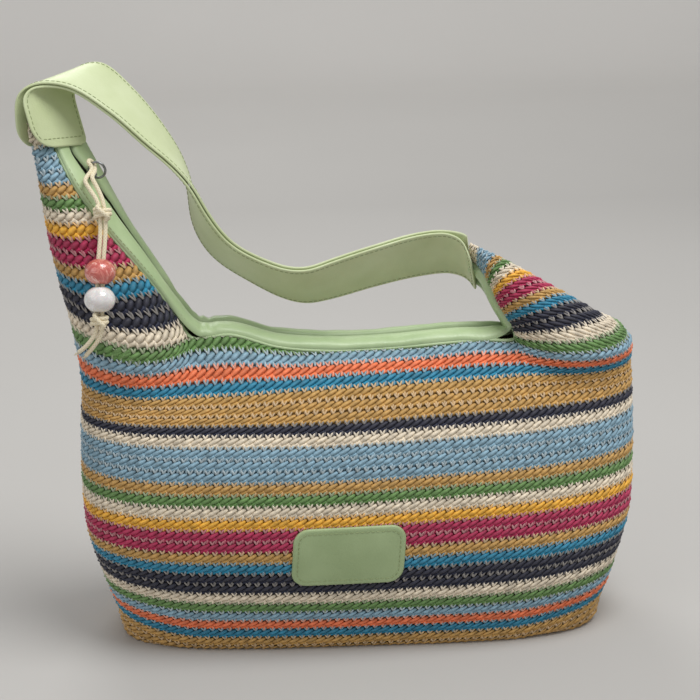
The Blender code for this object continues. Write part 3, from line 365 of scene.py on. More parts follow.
def mintLeather(name, colour, shadeColour, grain=1.0, roughness=0.44):
    # coated split leather in mint: fine pebbled grain, satin, slightly darker in its hollows
    made, tree, shader = newMaterial(name, roughness, Coat_Weight=0.08, Coat_Roughness=0.35)
    place = put(tree, "ShaderNodeTexCoord").outputs["Object"]
    pebble = put(tree, "ShaderNodeTexVoronoi", {"Vector": place, "Scale": 1250.0},
                 feature="SMOOTH_F1")
    soft = put(tree, "ShaderNodeTexNoise", {"Vector": place, "Scale": 38.0, "Detail": 4.0})
    fine = put(tree, "ShaderNodeTexNoise", {"Vector": place, "Scale": 700.0, "Detail": 3.0})
    vary = put(tree, "ShaderNodeMapRange", {"Value": soft.outputs["Fac"], "From Min": 0.32,
                                            "From Max": 0.68})
    mix = put(tree, "ShaderNodeMix", {"Factor": vary.outputs["Result"], 6: linear(shadeColour),
                                      7: linear(colour)}, data_type="RGBA")
    rough = put(tree, "ShaderNodeMapRange", {"Value": fine.outputs["Fac"], "From Min": 0.3,
                                             "From Max": 0.7, "To Min": roughness - 0.06,
                                             "To Max": roughness + 0.10})
    tree.links.new(rough.outputs["Result"], shader.inputs["Roughness"])
    height = put(tree, "ShaderNodeMath", {0: pebble.outputs["Distance"], 1: fine.outputs["Fac"]},
                 operation="ADD")
    tree.links.new(mix.outputs[2], shader.inputs["Base Color"])
    bump = put(tree, "ShaderNodeBump", {"Height": height.outputs["Value"], "Strength": 0.22 * grain,
                                        "Distance": 0.0003})
    tree.links.new(bump.outputs["Normal"], shader.inputs["Normal"])
    return made


def wovenTape(name, colour, dark, threadsPerMetre, roughness=0.8):
    # a plain woven tape: over-and-under threads, coarser than real so that they show, with painted shade
    # at the threads' edges
    made, tree, shader = newMaterial(name, roughness, Sheen_Weight=0.15)
    place = put(tree, "ShaderNodeTexCoord").outputs["Object"]
    weave = put(tree, "ShaderNodeTexVoronoi", {"Vector": place, "Scale": threadsPerMetre},
                distance="CHEBYCHEV")
    # painted shade: darker towards the edge of each thread, where the threads meet
    mix = put(tree, "ShaderNodeMix", {"Factor": weave.outputs["Distance"], 6: linear(colour),
                                      7: linear(dark)}, data_type="RGBA")
    tree.links.new(mix.outputs[2], shader.inputs["Base Color"])
    bump = put(tree, "ShaderNodeBump", {"Height": weave.outputs["Distance"], "Strength": 0.5,
                                        "Distance": 0.0003}, invert=True)
    tree.links.new(bump.outputs["Normal"], shader.inputs["Normal"])
    return made


def cottonCord(name):
    # round plaited cotton cord: slanting plaits that read the tube's own UV, in cord diameters
    made, tree, shader = newMaterial(name, 0.85, Sheen_Weight=0.2)
    uv = put(tree, "ShaderNodeUVMap", uv_map="cord")
    parts = put(tree, "ShaderNodeSeparateXYZ", {"Vector": uv.outputs["UV"]})
    waves = []
    for sign in (1.0, -1.0):
        turn = put(tree, "ShaderNodeMath", {0: parts.outputs["X"], 1: sign * 4.0},
                   operation="MULTIPLY")
        both = put(tree, "ShaderNodeMath", {0: parts.outputs["Y"], 1: 1.3, 2: turn.outputs["Value"]},
                   operation="MULTIPLY_ADD")
        angle = put(tree, "ShaderNodeMath", {0: both.outputs["Value"], 1: 2 * math.pi},
                    operation="MULTIPLY")
        waves.append(put(tree, "ShaderNodeMath", {0: angle.outputs["Value"]}, operation="SINE"))
    height = put(tree, "ShaderNodeMath", {0: waves[0].outputs["Value"], 1: waves[1].outputs["Value"]},
                 operation="MAXIMUM")
    plaitPaintedShade = put(tree, "ShaderNodeMapRange", {"Value": height.outputs["Value"], "From Min": -0.6,
                                               "From Max": 0.9})
    # painted shade and light: the plaits' grooves darker cream, their crowns lighter
    mix = put(tree, "ShaderNodeMix", {"Factor": plaitPaintedShade.outputs["Result"], 6: linear("#DCCDA8"),
                                      7: linear("#EFE4C8")}, data_type="RGBA")
    tree.links.new(mix.outputs[2], shader.inputs["Base Color"])
    bump = put(tree, "ShaderNodeBump", {"Height": height.outputs["Value"], "Strength": 0.22,
                                        "Distance": 0.0003})
    tree.links.new(bump.outputs["Normal"], shader.inputs["Normal"])
    return made


def marbledResin(name, light, middle, dark, roughness):
    # cast resin with swirled pigment, polished to a clear gloss
    made, tree, shader = newMaterial(name, roughness, Coat_Weight=0.6, Coat_Roughness=0.06,
                                     Subsurface_Weight=0.08, Subsurface_Scale=0.004)
    place = put(tree, "ShaderNodeTexCoord").outputs["Object"]
    warp = put(tree, "ShaderNodeTexNoise", {"Vector": place, "Scale": 90.0, "Detail": 3.0,
                                            "Distortion": 1.6})
    swirl = put(tree, "ShaderNodeTexNoise", {"Vector": warp.outputs["Color"], "Scale": 4.0,
                                             "Detail": 2.0, "Distortion": 1.0})
    ramp = put(tree, "ShaderNodeValToRGB", {"Fac": swirl.outputs["Fac"]})
    bands = ramp.color_ramp
    bands.elements[0].position = 0.36
    bands.elements[0].color = linear(dark)
    bands.elements[1].position = 0.66
    bands.elements[1].color = linear(light)
    bands.elements.new(0.52).color = linear(middle)
    tree.links.new(ramp.outputs["Color"], shader.inputs["Base Color"])
    return made


def nickel(name):
    # nickel-plated steel wire and die casting: bright, with fine handling marks
    made, tree, shader = newMaterial(name, 0.26, 1.0, Base_Color=linear("#8E9092"))
    place = put(tree, "ShaderNodeTexCoord").outputs["Object"]
    wear = put(tree, "ShaderNodeTexNoise", {"Vector": place, "Scale": 900.0, "Detail": 4.0})
    rough = put(tree, "ShaderNodeMapRange", {"Value": wear.outputs["Fac"], "To Min": 0.16,
                                             "To Max": 0.42})
    tree.links.new(rough.outputs["Result"], shader.inputs["Roughness"])
    return made


def plainYarn(name, colour, dark, scale, roughness=0.7):
    # spun or moulded thread: one colour, a little uneven, with a fine relief
    made, tree, shader = newMaterial(name, roughness)
    place = put(tree, "ShaderNodeTexCoord").outputs["Object"]
    noise = put(tree, "ShaderNodeTexNoise", {"Vector": place, "Scale": scale, "Detail": 3.0})
    mix = put(tree, "ShaderNodeMix", {"Factor": noise.outputs["Fac"], 6: linear(dark),
                                      7: linear(colour)}, data_type="RGBA")
    tree.links.new(mix.outputs[2], shader.inputs["Base Color"])
    bump = put(tree, "ShaderNodeBump", {"Height": noise.outputs["Fac"], "Strength": 0.3,
                                        "Distance": 0.0002})
    tree.links.new(bump.outputs["Normal"], shader.inputs["Normal"])
    return made


straw = paperStraw("crocheted paper straw", 1.0)
# the same straw at half brightness: painted shade for the gaps between stitches
strawInPaintedShade = paperStraw("crocheted paper straw in painted shade in its gaps", 0.50)
leather = mintLeather("mint coated leather", "#D0DAB0", "#C3CE9F")
bandLeather = mintLeather("mint coated leather of the bands", "#BBCFA2", "#A7BE8E", 0.8, 0.40)
# the patch's mint: greener like the bands, and darker than them as painted shade of the patch's front
# face
shadedPatchLeather = mintLeather("mint coated leather of the patch, darkened as painted shade", "#A9BD8D", "#9CB080", 0.9, 0.46)
sewingThread = plainYarn("mint polyester sewing thread", "#A5B283", "#848F62", 900.0, 0.5)
zipTape = wovenTape("mint woven zip tape", "#AABB92", "#849870", 1500.0)
zipCoil = plainYarn("moulded nylon zip coil", "#B0C098", "#95A880", 600.0, 0.35)
cordLook = cottonCord("plaited cotton cord")
frayLook = plainYarn("frayed cotton ends", "#F6EEDA", "#D9CBA8", 1200.0, 0.9)
pinkResin = marbledResin("marbled coral resin", "#F3C9BD", "#E08C80", "#C7655C", 0.16)
whiteResin = marbledResin("pearly white resin", "#FBFAF8", "#EFEDEA", "#DDD9D6", 0.14)
nickelLook = nickel("nickel-plated steel")
liningLook = wovenTape("plain cotton lining", "#CFC9BA", "#A9A393", 1300.0, 0.9)
print("materials made")


# Camera, light and floor
view = {"distance": 1.10, "elevation": 19.0, "yaw": 8.0, "focalPixels": 1776.0, "frame": 700,
        "originAt": (355, 611), "sensor": 36.0}


def buildCamera():
    elevation = math.radians(view["elevation"])
    yaw = math.radians(view["yaw"])
    forward = np.array([math.cos(elevation) * math.sin(yaw), math.cos(elevation) * math.cos(yaw),
                        -math.sin(elevation)])
    right = np.array([math.cos(yaw), -math.sin(yaw), 0.0])
    up = np.cross(right, forward)
    half = view["frame"] / 2
    u = (view["originAt"][0] - half) / view["focalPixels"]
    v = (half - view["originAt"][1]) / view["focalPixels"]
    place = -(forward + u * right + v * up) * view["distance"]
    data = bpy.data.cameras.new("camera")
    data.sensor_width = view["sensor"]
    data.lens = view["sensor"] * view["focalPixels"] / view["frame"]
    data.clip_start = 0.01
    camera = bpy.data.objects.new("camera", data)
    bpy.context.scene.collection.objects.link(camera)
    turned = [[right[i], up[i], -forward[i], place[i]] for i in range(3)]
    camera.matrix_world = Matrix(turned + [[0, 0, 0, 1]])
    bpy.context.scene.camera = camera


studio = {
    "floorColour": "#BDBBB7", "floorShade": "#B8B6B2", "floorHalf": 3.0,
    "backAt": 2.2, "backHeight": 2.6, "sweep": 0.5, "palerFrom": 1.0, "palerTo": 2.0, "farPaler": 1.72,
    "lamps": (  # name, place, aimed at, size, watts
        ("soft box overhead", (0.40, -0.36, 1.60), (0.0, 0.0, 0.12), 0.9, 17.5),
        ("soft box on the left", (-1.30, -0.80, 0.80), (0.0, 0.0, 0.15), 1.2, 3.6),
        ("strip from behind", (-0.20, 1.00, 1.20), (0.0, 0.0, 0.20), 0.8, 6.0),
    ),
    "worldStrength": 0.40, "worldColour": (0.98, 0.98, 1.0, 1.0),
}


def buildStudio():
    floor, tree, shader = newMaterial("matt studio floor", 0.9)
    place = put(tree, "ShaderNodeTexCoord").outputs["Object"]
    noise = put(tree, "ShaderNodeTexNoise", {"Vector": place, "Scale": 3.0, "Detail": 2.0})
    mix = put(tree, "ShaderNodeMix", {"Factor": noise.outputs["Fac"], 6: linear(studio["floorShade"]),
                                      7: linear(studio["floorColour"])}, data_type="RGBA")
    # the far end is paler, as the lamps reach it less
    parts = put(tree, "ShaderNodeSeparateXYZ", {0: place})
    paler = put(tree, "ShaderNodeMapRange", {0: parts.outputs["Y"], 1: studio["palerFrom"],
                                             2: studio["palerTo"], 3: 1.0, 4: studio["farPaler"]})
    shade = put(tree, "ShaderNodeVectorMath", {0: mix.outputs[2], "Scale": paler.outputs[0]},
                operation="SCALE")
    tree.links.new(shade.outputs[0], shader.inputs["Base Color"])
    half = studio["floorHalf"]
    back = studio["backAt"]
    bend = studio["sweep"]
    sweep = [(-half, 0.0), (back - bend, 0.0)]
    sweep += [(back - bend + bend * math.sin(a), bend - bend * math.cos(a))
              for a in np.radians(range(6, 91, 6))]
    sweep += [(back, studio["backHeight"])]
    points = [(x, y, z) for y, z in sweep for x in (-half, half)]
    made = meshObject("studio_floor", points, gridFaces(len(sweep), 2), floor)
    for name, place, aim, size, watts in studio["lamps"]:
        data = bpy.data.lights.new(name, "AREA")
        data.shape = "DISK"
        data.size = size
        data.energy = watts
        lamp = bpy.data.objects.new(name, data)
        bpy.context.scene.collection.objects.link(lamp)
        lamp.location = place
        lamp.rotation_euler = (Vector(aim) - Vector(place)).to_track_quat("-Z", "Y").to_euler()
    world = bpy.data.worlds.new("studio air")
    bpy.context.scene.world = world
    world.use_nodes = True
    air = world.node_tree.nodes["Background"].inputs
    air["Color"].default_value = studio["worldColour"]
    air["Strength"].default_value = studio["worldStrength"]


buildCamera()
buildStudio()
bpy.context.scene.view_settings.view_transform = "Standard"
print("camera and studio made")


# The charm: cord, knots, beads and ring
charm = {
    "cord": 0.0024, "strandGap": 0.0003, "clear": 0.0003,
    "stem": ((-0.1498, -0.0180, 0.2822), (-0.1442, -0.0241, 0.2712), (-0.1433, -0.0265, 0.2658),
             (-0.1434, -0.0294, 0.2595), (-0.1460, -0.0380, 0.2359), (-0.1469, -0.0440, 0.2220),
             (-0.1477, -0.0470, 0.2109), (-0.1483, -0.0484, 0.2050), (-0.1535, -0.0475, 0.1965),
             (-0.1577, -0.0450, 0.1917)),
    "pinkBead": (-0.1460, -0.0380, 0.2359), "whiteBead": (-0.1469, -0.0440, 0.2220),
    "upperKnot": (-0.1433, -0.0265, 0.2658), "lowerKnot": (-0.1477, -0.0470, 0.2109),
    "eye": (-0.14749, -0.00691, 0.28212),
    "beadRadius": 0.0086, "beadSquash": 0.86, "boreRadius": 0.0030, "beadSides": 48,
    "loop": 0.6, "loopEnd": 0.17, "endSpread": 0.8, "stemPoints": 46, "cordPoints": 260,
    "cordSides": 12, "knotSides": 10,
}
knot = {  # half sizes of the wraps, their height and start, and the strand that crosses their front
    "wraps": (0.0041, 0.0030), "height": 0.0050, "start": 0.6, "perTurn": 26,
    "crossing": ((0.0040, -0.0016, 0.0006), (0.0030, -0.0026, 0.0034), (0.0, -0.0002, 0.0047),
                 (-0.0026, 0.0024, 0.0036), (-0.0040, 0.0018, 0.0008)),
}
frayed = {"fibres": 16, "spread": 0.32, "scatter": 0.0005, "radius": 0.00016, "taper": 0.6, "seed": 5}
ring = {"radius": 0.0046, "wire": 0.0007, "around": 75.0,
        "rise": (0.50711, -0.29384, 0.81024), "downSlope": (0.81392, -0.14595, -0.56234)}


def charmPath():
    rise = unit(ring["rise"])
    downSlope = unit(ring["downSlope"])
    face = unit(np.cross(downSlope, rise))
    turn = math.radians(ring["around"])
    up = rise * math.cos(turn) - downSlope * math.sin(turn)
    centre = np.asarray(charm["eye"]) + rise * ring["radius"]
    wire = centre + up * ring["radius"]
    clear = ring["wire"] + charm["cord"] / 2 + charm["clear"]
    route = np.array(charm["stem"])
    length = lengthsOf(route)
    stem = through(length, route, np.linspace(0.0, length[-1], charm["stemPoints"]))
    down = unit(np.gradient(stem, axis=0))
    lateral = np.array([1.0, 0.0, 0.0])
    beside = unit(lateral - (down @ lateral)[:, None] * down)
    beside = beside * (charm["cord"] + charm["strandGap"]) / 2
    share = np.linspace(0, 1, charm["stemPoints"])[:, None]
    fray = (1 + share**12 * charm["endSpread"]
            + charm["loop"] * (1 - ease(0.0, charm["loopEnd"], share)))
    left = stem - beside * fray
    right = stem + beside * fray
    # over the wire and back under it, each point by its place on the face and its height
    over = [wire + face * f + up * h for f, h in (
        (clear, -0.0008), (clear * 0.72, clear * 0.72), (0, clear), (-clear * 0.72, clear * 0.72),
        (-clear, 0), (-clear * 0.72, -clear * 0.75), (0, -clear - 0.0004), (clear, -clear - 0.0014))]
    knots = np.vstack([left[::-1], over, right])
    return smoothLine(knots, charm["cordPoints"]), stem, down, centre, face


def tubeMesh(name, line, radius, sides, look, taper=0.0):
    # a round tube with a UV in its own diameters, kept from twisting
    line = np.asarray(line, float)
    along = unit(np.gradient(line, axis=0))
    side = unit(np.cross(along[0], (0.3, 0.2, 1.0)))
    length = lengthsOf(line) / (2 * radius)
    angle = np.arange(sides) * 2 * math.pi / sides
    rings = []
    for number, (point, forward) in enumerate(zip(line, along)):
        side = unit(side - (side @ forward) * forward)
        over = np.cross(forward, side)
        share = number / (len(line) - 1)
        size = radius * (1 - taper * max(0.0, 2 * share - 1))
        rings.append(point + size * (np.cos(angle)[:, None] * side + np.sin(angle)[:, None] * over))
    count = len(rings)
    faces = gridFaces(count, sides, 0, True)
    faces += [tuple(range(sides)), tuple(range((count - 1) * sides, count * sides))]
    made = meshObject(name, rings, faces, look)
    layer = made.data.uv_layers.new(name="cord")
    places = np.zeros((len(made.data.loops), 2), np.float32)
    corners = [((c + dc) / sides, length[r + dr]) for r in range(count - 1) for c in range(sides)
               for dr, dc in ((0, 0), (0, 1), (1, 1), (1, 0))]
    places[:len(corners)] = corners
    layer.data.foreach_set("uv", places.ravel())
    return outward(made)


cordLine, stemLine, stemDown, ringCentre, ringFace = charmPath()


def stemAxes(place):
    # up the two strands at a place, to the right of them and away from the viewer
    nearest = int(np.argmin(np.linalg.norm(stemLine - np.asarray(place), axis=1)))
    axis = unit(-stemDown[nearest])
    lateral = unit(np.array([1.0, 0, 0]) - axis[0] * axis)
    return np.asarray(place), axis, lateral, np.cross(axis, lateral)


def buildKnot(name, place, turns):
    centre, axis, lateral, over = stemAxes(place)
    share = np.linspace(0, 1, int(knot["perTurn"] * turns))
    angle = knot["start"] + share * turns * 2 * math.pi
    wraps = (centre + (np.cos(angle) * knot["wraps"][0])[:, None] * lateral
             + (np.sin(angle) * knot["wraps"][1])[:, None] * over
             + ((share - 0.5) * knot["height"])[:, None] * axis)
    front = [centre + axis * h + lateral * x - over * y for h, x, y in knot["crossing"]]
    front = smoothLine(np.array(front), knot["perTurn"])
    return joined([tubeMesh(name, line, charm["cord"] / 2, charm["knotSides"], cordLook)
                   for line in (wraps, front)], name)


def joined(pieces, name):
    base = pieces[0]
    with bpy.context.temp_override(active_object=base, selected_editable_objects=pieces,
                                   selected_objects=pieces):
        bpy.ops.object.join()
    base.name = name
    return base


def buildBead(name, place, look):
    centre, axis, lateral, over = stemAxes(place)
    radius = charm["beadRadius"]
    bore = charm["boreRadius"]
    reach = math.acos((bore + 0.0005) / radius)
    angles = np.linspace(-reach, reach, 30)
    outline = [(radius * math.cos(a), charm["beadSquash"] * radius * math.sin(a)) for a in angles]
    top = outline[-1][1]
    outline += [(bore + 0.0001, top - 0.0001), (bore, top - 0.0006), (bore, -top + 0.0006),
                (bore + 0.0001, -top + 0.0001)]
    rings = []
    for k in range(charm["beadSides"]):
        angle = 2 * math.pi * k / charm["beadSides"]
        turn = math.cos(angle) * lateral + math.sin(angle) * over
        rings.append([centre + r * turn + h * axis for r, h in outline])
    return loft(name, rings, look, True)


def buildFray(name):
    # loosened fibres at the two cut ends
    random = np.random.default_rng(frayed["seed"])
    pieces = []
    for end, before in ((cordLine[0], cordLine[6]), (cordLine[-1], cordLine[-7])):
        away = unit(end - before)
        for _ in range(frayed["fibres"]):
            spread = random.normal(0, frayed["spread"], 3)
            line = [end - away * 0.0010 + random.normal(0, frayed["scatter"], 3),
                    end + away * 0.0008 + spread * 0.0006,
                    end + away * 0.0024 + spread * 0.0022]
            pieces.append(tubeMesh(name, smoothLine(np.array(line), 5), frayed["radius"], 4, frayLook,
                                   frayed["taper"]))
    return joined(pieces, name)


charmCord = tubeMesh("charm_cord_plaited", cordLine, charm["cord"] / 2, charm["cordSides"], cordLook)
upperKnot = buildKnot("upper_knot_wraps", charm["upperKnot"], 2.4)
lowerKnot = buildKnot("lower_knot_wraps", charm["lowerKnot"], 2.2)
pinkBead = buildBead("coral_bead", charm["pinkBead"], pinkResin)
whiteBead = buildBead("pearl_bead", charm["whiteBead"], whiteResin)
frayedEnds = buildFray("frayed_cord_ends")
placed(charmCord, "charm", "charm_cord")
placed(upperKnot, "charm", "upper_knot")
placed(lowerKnot, "charm", "lower_knot")
placed(pinkBead, "pink_bead", "pink_bead")
placed(whiteBead, "white_bead", "white_bead")
placed(frayedEnds, "charm")


def buildRing():
    downSlope = unit(ring["downSlope"])
    rise = unit(ring["rise"])
    rings = []
    for k in range(72):
        a = 2 * math.pi * k / 72
        radial = math.cos(a) * rise + math.sin(a) * downSlope
        rings.append([ringCentre + radial * (ring["radius"] + ring["wire"] * math.cos(b))
                      + ringFace * ring["wire"] * math.sin(b) for b in np.arange(12) * math.pi / 6])
    return loft("pull_ring_wire", rings, nickelLook, True)


placed(buildRing(), "ring", "pull_ring")
print("charm made")


# The crocheted cloth
yarns = {
    "tan": "#C79C57", "teal": "#2585A6", "orange": "#F07C4E", "lightBlue": "#8AADBF",
    "green": "#688F50", "cream": "#E8DAC2", "navy": "#1F2338", "crimson": "#B42856",
    "yellow": "#F0B43C",
}
stripes = (  # yarn and how many rows of it, from three rows under the bottom edge upward
    ("tan", 4), ("teal", 1), ("orange", 1), ("lightBlue", 1), ("green", 1), ("cream", 1), ("navy", 2),
    ("teal", 1), ("tan", 1), ("crimson", 2), ("yellow", 1), ("cream", 1), ("green", 1), ("tan", 1),
    ("lightBlue", 3), ("cream", 1), ("navy", 1), ("tan", 3), ("teal", 1), ("orange", 1),
    ("lightBlue", 1), ("green", 1), ("cream", 1), ("navy", 2), ("teal", 1), ("tan", 1), ("crimson", 2),
    ("yellow", 1), ("cream", 1), ("green", 1), ("tan", 1), ("lightBlue", 3), ("cream", 3),
)
crochet = {
    "rowHeight": 0.0071, "pitch": 0.0050, "firstRow": -3, "splitRow": 13, "perRow": 4,
    "bodyColumns": 161, "earColumns": 61, "islandStep": 2.0, "rowScale": 0.02,
    "backing": 0.0007, "backingDepth": -0.0003, "wobble": 0.10, "uneven": 0.16, "seed": 3,
    "cornerShare": 0.19,  # of a row's length, from the outer seam to the mouth's corner
    "shortRows": 1.0, "shortFade": 9, "shortFrom": 20, "shortEnd": -0.012, "shortPower": 1.6,
    "sharedFrom": 0.5, "clear": 0.02, "rimRise": 0.12, "leastRow": 0.35, "beyondSeam": 1.9,
    "lowest": 0.0001,
}
rowYarns = [yarn for yarn, count in stripes for _ in range(count)]


def yarnOf(row):
    index = int(np.clip(row - crochet["firstRow"], 0, len(rowYarns) - 1))
    return linear(yarns[rowYarns[index]])


def wobbled(grid, rows, shares, seed):
    # rows that wander a little, as worked by machine tension
    random = np.random.default_rng(seed)
    phase = random.uniform(0, 2 * math.pi, 6)
    out = grid.copy()
    for column, share in enumerate(shares):
        shift = (math.sin(9 * share + phase[0]) * 0.5 + math.sin(21 * share + phase[1]) * 0.3
                 + np.sin(0.5 * rows + phase[2] + 5 * share) * 0.5)
        fade = np.clip(np.minimum(rows - rows[0], rows[-1] - rows) / 3, 0, 1)
        places = rows + crochet["wobble"] * shift * fade
        out[:, column] = columnsAt(places, rows, grid[:, column])
    return out


def evenRows(dense, columns):
    # every row's points spread evenly along it
    return np.stack([byLength(row, np.linspace(0, 1, columns)) for row in dense])


def bodyGrid(side):
    rows = np.arange(0, bag["bodyRows"] + 0.51, 1 / crochet["perRow"])
    dense = np.concatenate([
        clothAt(side, "left", np.linspace(0, 1, 50), rows)[:, :-1],
        clothAt(side, "middle", np.linspace(0, 1, 70), np.minimum(rows, bag["bodyRows"]))[:, :-1],
        clothAt(side, "right", np.linspace(1, 0, 50), rows)], axis=1)
    grid = evenRows(dense, crochet["bodyColumns"])
    # under the bottom edge: down to the foot's edge and in under it, by true distance
    inset = bag["bottomRounding"]
    foot = grid[0].copy()
    foot[:, 0] = bag["shift"] + (foot[:, 0] - bag["shift"]) * (1 - inset / bag["bottomHalfLength"])
    foot[:, 1] = foot[:, 1] * (1 - inset / bag["bottomHalfDepth"])
    foot[:, 2] = bag["footHeight"]
    middle = (foot + grid[0]) / 2 + (grid[0] - foot) * bag["footCurve"]
    inner = foot * bag["underShare"]
    inner[:, 2] = bag["underHeight"]
    under = []
    below = -np.arange(crochet["firstRow"] * -crochet["perRow"], 0, -1) / crochet["perRow"]
    for column in range(crochet["bodyColumns"]):
        path = np.stack([grid[0, column], middle[column], foot[column], inner[column]])
        under.append(columnsAt(-below * crochet["rowHeight"], lengthsOf(path), path))
    grid = np.concatenate([np.array(under).transpose(1, 0, 2), grid])
    return np.concatenate([below, rows]), grid


def earGrid(side, part):
    rows = np.arange(bag["bodyRows"] - 0.5, topRow + 0.01, 1 / crochet["perRow"])
    dense = clothAt(side, part, np.linspace(0, 1, 70), rows)
    return rows, evenRows(dense, crochet["earColumns"])


def islandsOf(side):
    found = {"body": bodyGrid(side), "left": earGrid(side, "left"), "right": earGrid(side, "right")}
    for number, (name, (rows, grid)) in enumerate(found.items()):
        shares = np.linspace(0, 1, grid.shape[1])
        found[name] = (rows, wobbled(grid, rows, shares, crochet["seed"] + number))
    return found


def seamMargin(own, other, name, count=2):
    # a few columns of the other panel beyond the shared outer seam
    before = other[:, count:0:-1]
    after = other[:, -2:-2 - count:-1]
    return (np.concatenate([before, own, after], axis=1) if name == "body"
            else np.concatenate([before, own], axis=1))


def gridNormals(grid, side, name):
    along = np.gradient(grid, axis=1)
    upward = np.gradient(grid, axis=0)
    sign = 1 if (side < 0) == (name != "right") else -1
    normals = unit(np.cross(along, upward)) * sign
    for _ in range(2):
        normals[1:-1] = unit(normals[:-2] + 2 * normals[1:-1] + normals[2:])
    return normals


def samplerOf(name, islands, others, side):
    # the hidden surface that the stitches are laid on: its UV counts row lengths and rows
    points = []
    normals = []
    places = []
    faces = []
    for number, key in enumerate(("body", "left", "right")):
        rows, grid = islands[key]
        spacing = 1 / (grid.shape[1] - 1)
        wide = seamMargin(grid, others[key][1], key)
        columns = np.arange(wide.shape[1]) * spacing - 2 * spacing + number * crochet["islandStep"]
        faces += gridFaces(len(rows), wide.shape[1], len(points))
        points += wide.reshape(-1, 3).tolist()
        normals += gridNormals(wide, side, key).reshape(-1, 3).tolist()
        rowsOf = stitchRows(key, rows, wide) * crochet["rowScale"]
        places += [(c, v) for line in rowsOf for c, v in zip(columns, line)]
    made = meshObject(name, points, faces)
    addAttribute(made, "outNormal", "FLOAT_VECTOR", "POINT", normals)
    layer = made.data.uv_layers.new(name="cloth")
    corners = np.zeros(len(made.data.loops), np.int32)
    made.data.loops.foreach_get("vertex_index", corners)
    layer.data.foreach_set("uv", np.asarray(places, np.float32)[corners].ravel())
    return made


def strandRings(line, width, height, pointed):
    line = np.asarray(line, float)
    along = unit(np.gradient(line, axis=0))
    rings = []
    for point, forward, w, h in zip(line, along, width, height):
        sideways = unit(np.cross((0, 0, 1), forward))
        upward = np.cross(forward, sideways)
        rings.append([point - sideways * w, point - upward * h * 0.8, point + sideways * w,
                      point + upward * h])
    start = line[0] - along[0] * pointed
    finish = line[-1] + along[-1] * pointed
    return rings, start, finish


stitchForm = {  # strands of one stitch, in mm: points along it, half widths, half heights, painted highlight
    "lower loop": (((1.75, 0.1, 0.55), (2.15, 2.0, 0.78)), (0.80, 0.90), (0.55, 0.60), 0.18),
    "left leg": (((-0.10, 6.3, 0.62), (-1.15, 8.2, 0.92)), (0.78, 0.56), (0.50, 0.45), 0.34),
    "right leg": (((0.20, 6.4, 0.66), (1.15, 8.3, 0.92)), (0.78, 0.56), (0.50, 0.45), 0.28),
    "long strand": (((-2.9, 2.9, 0.45), (0.1, 4.4, 1.00), (3.1, 6.1, 0.50)), (1.20, 1.45, 1.15),
                    (0.60, 0.80, 0.60), 0.03),
    "under strand": (((-2.5, 0.9, 0.32), (1.9, 2.7, 0.66)), (1.15, 1.30), (0.55, 0.65), 0.0),
}


def buildStitch():
    points = []
    faces = []
    paintedHighlights = []
    for line, width, height, paintedHighlight in stitchForm.values():
        rings, start, finish = strandRings(line, width, height, 0.9)
        base = len(points)
        points += [p for r in rings for p in r] + [start, finish]
        first, last = base + 4 * len(rings), base + 4 * len(rings) + 1
        faces += gridFaces(len(rings), 4, base, True)
        faces += [(base + (c + 1) % 4, base + c, first) for c in range(4)]
        end = base + 4 * (len(rings) - 1)
        faces += [(end + c, end + (c + 1) % 4, last) for c in range(4)]
        paintedHighlights += [paintedHighlight] * (4 * len(rings) + 2)
    points = np.array(points) / (crochet["pitch"] * 1000, crochet["rowHeight"] * 1000, 1000)
    made = outward(meshObject("one_stitch", points, faces))
    # each strand's share of painted highlight
    addAttribute(made, "paintedHighlight", "FLOAT", "POINT", paintedHighlights)
    return made


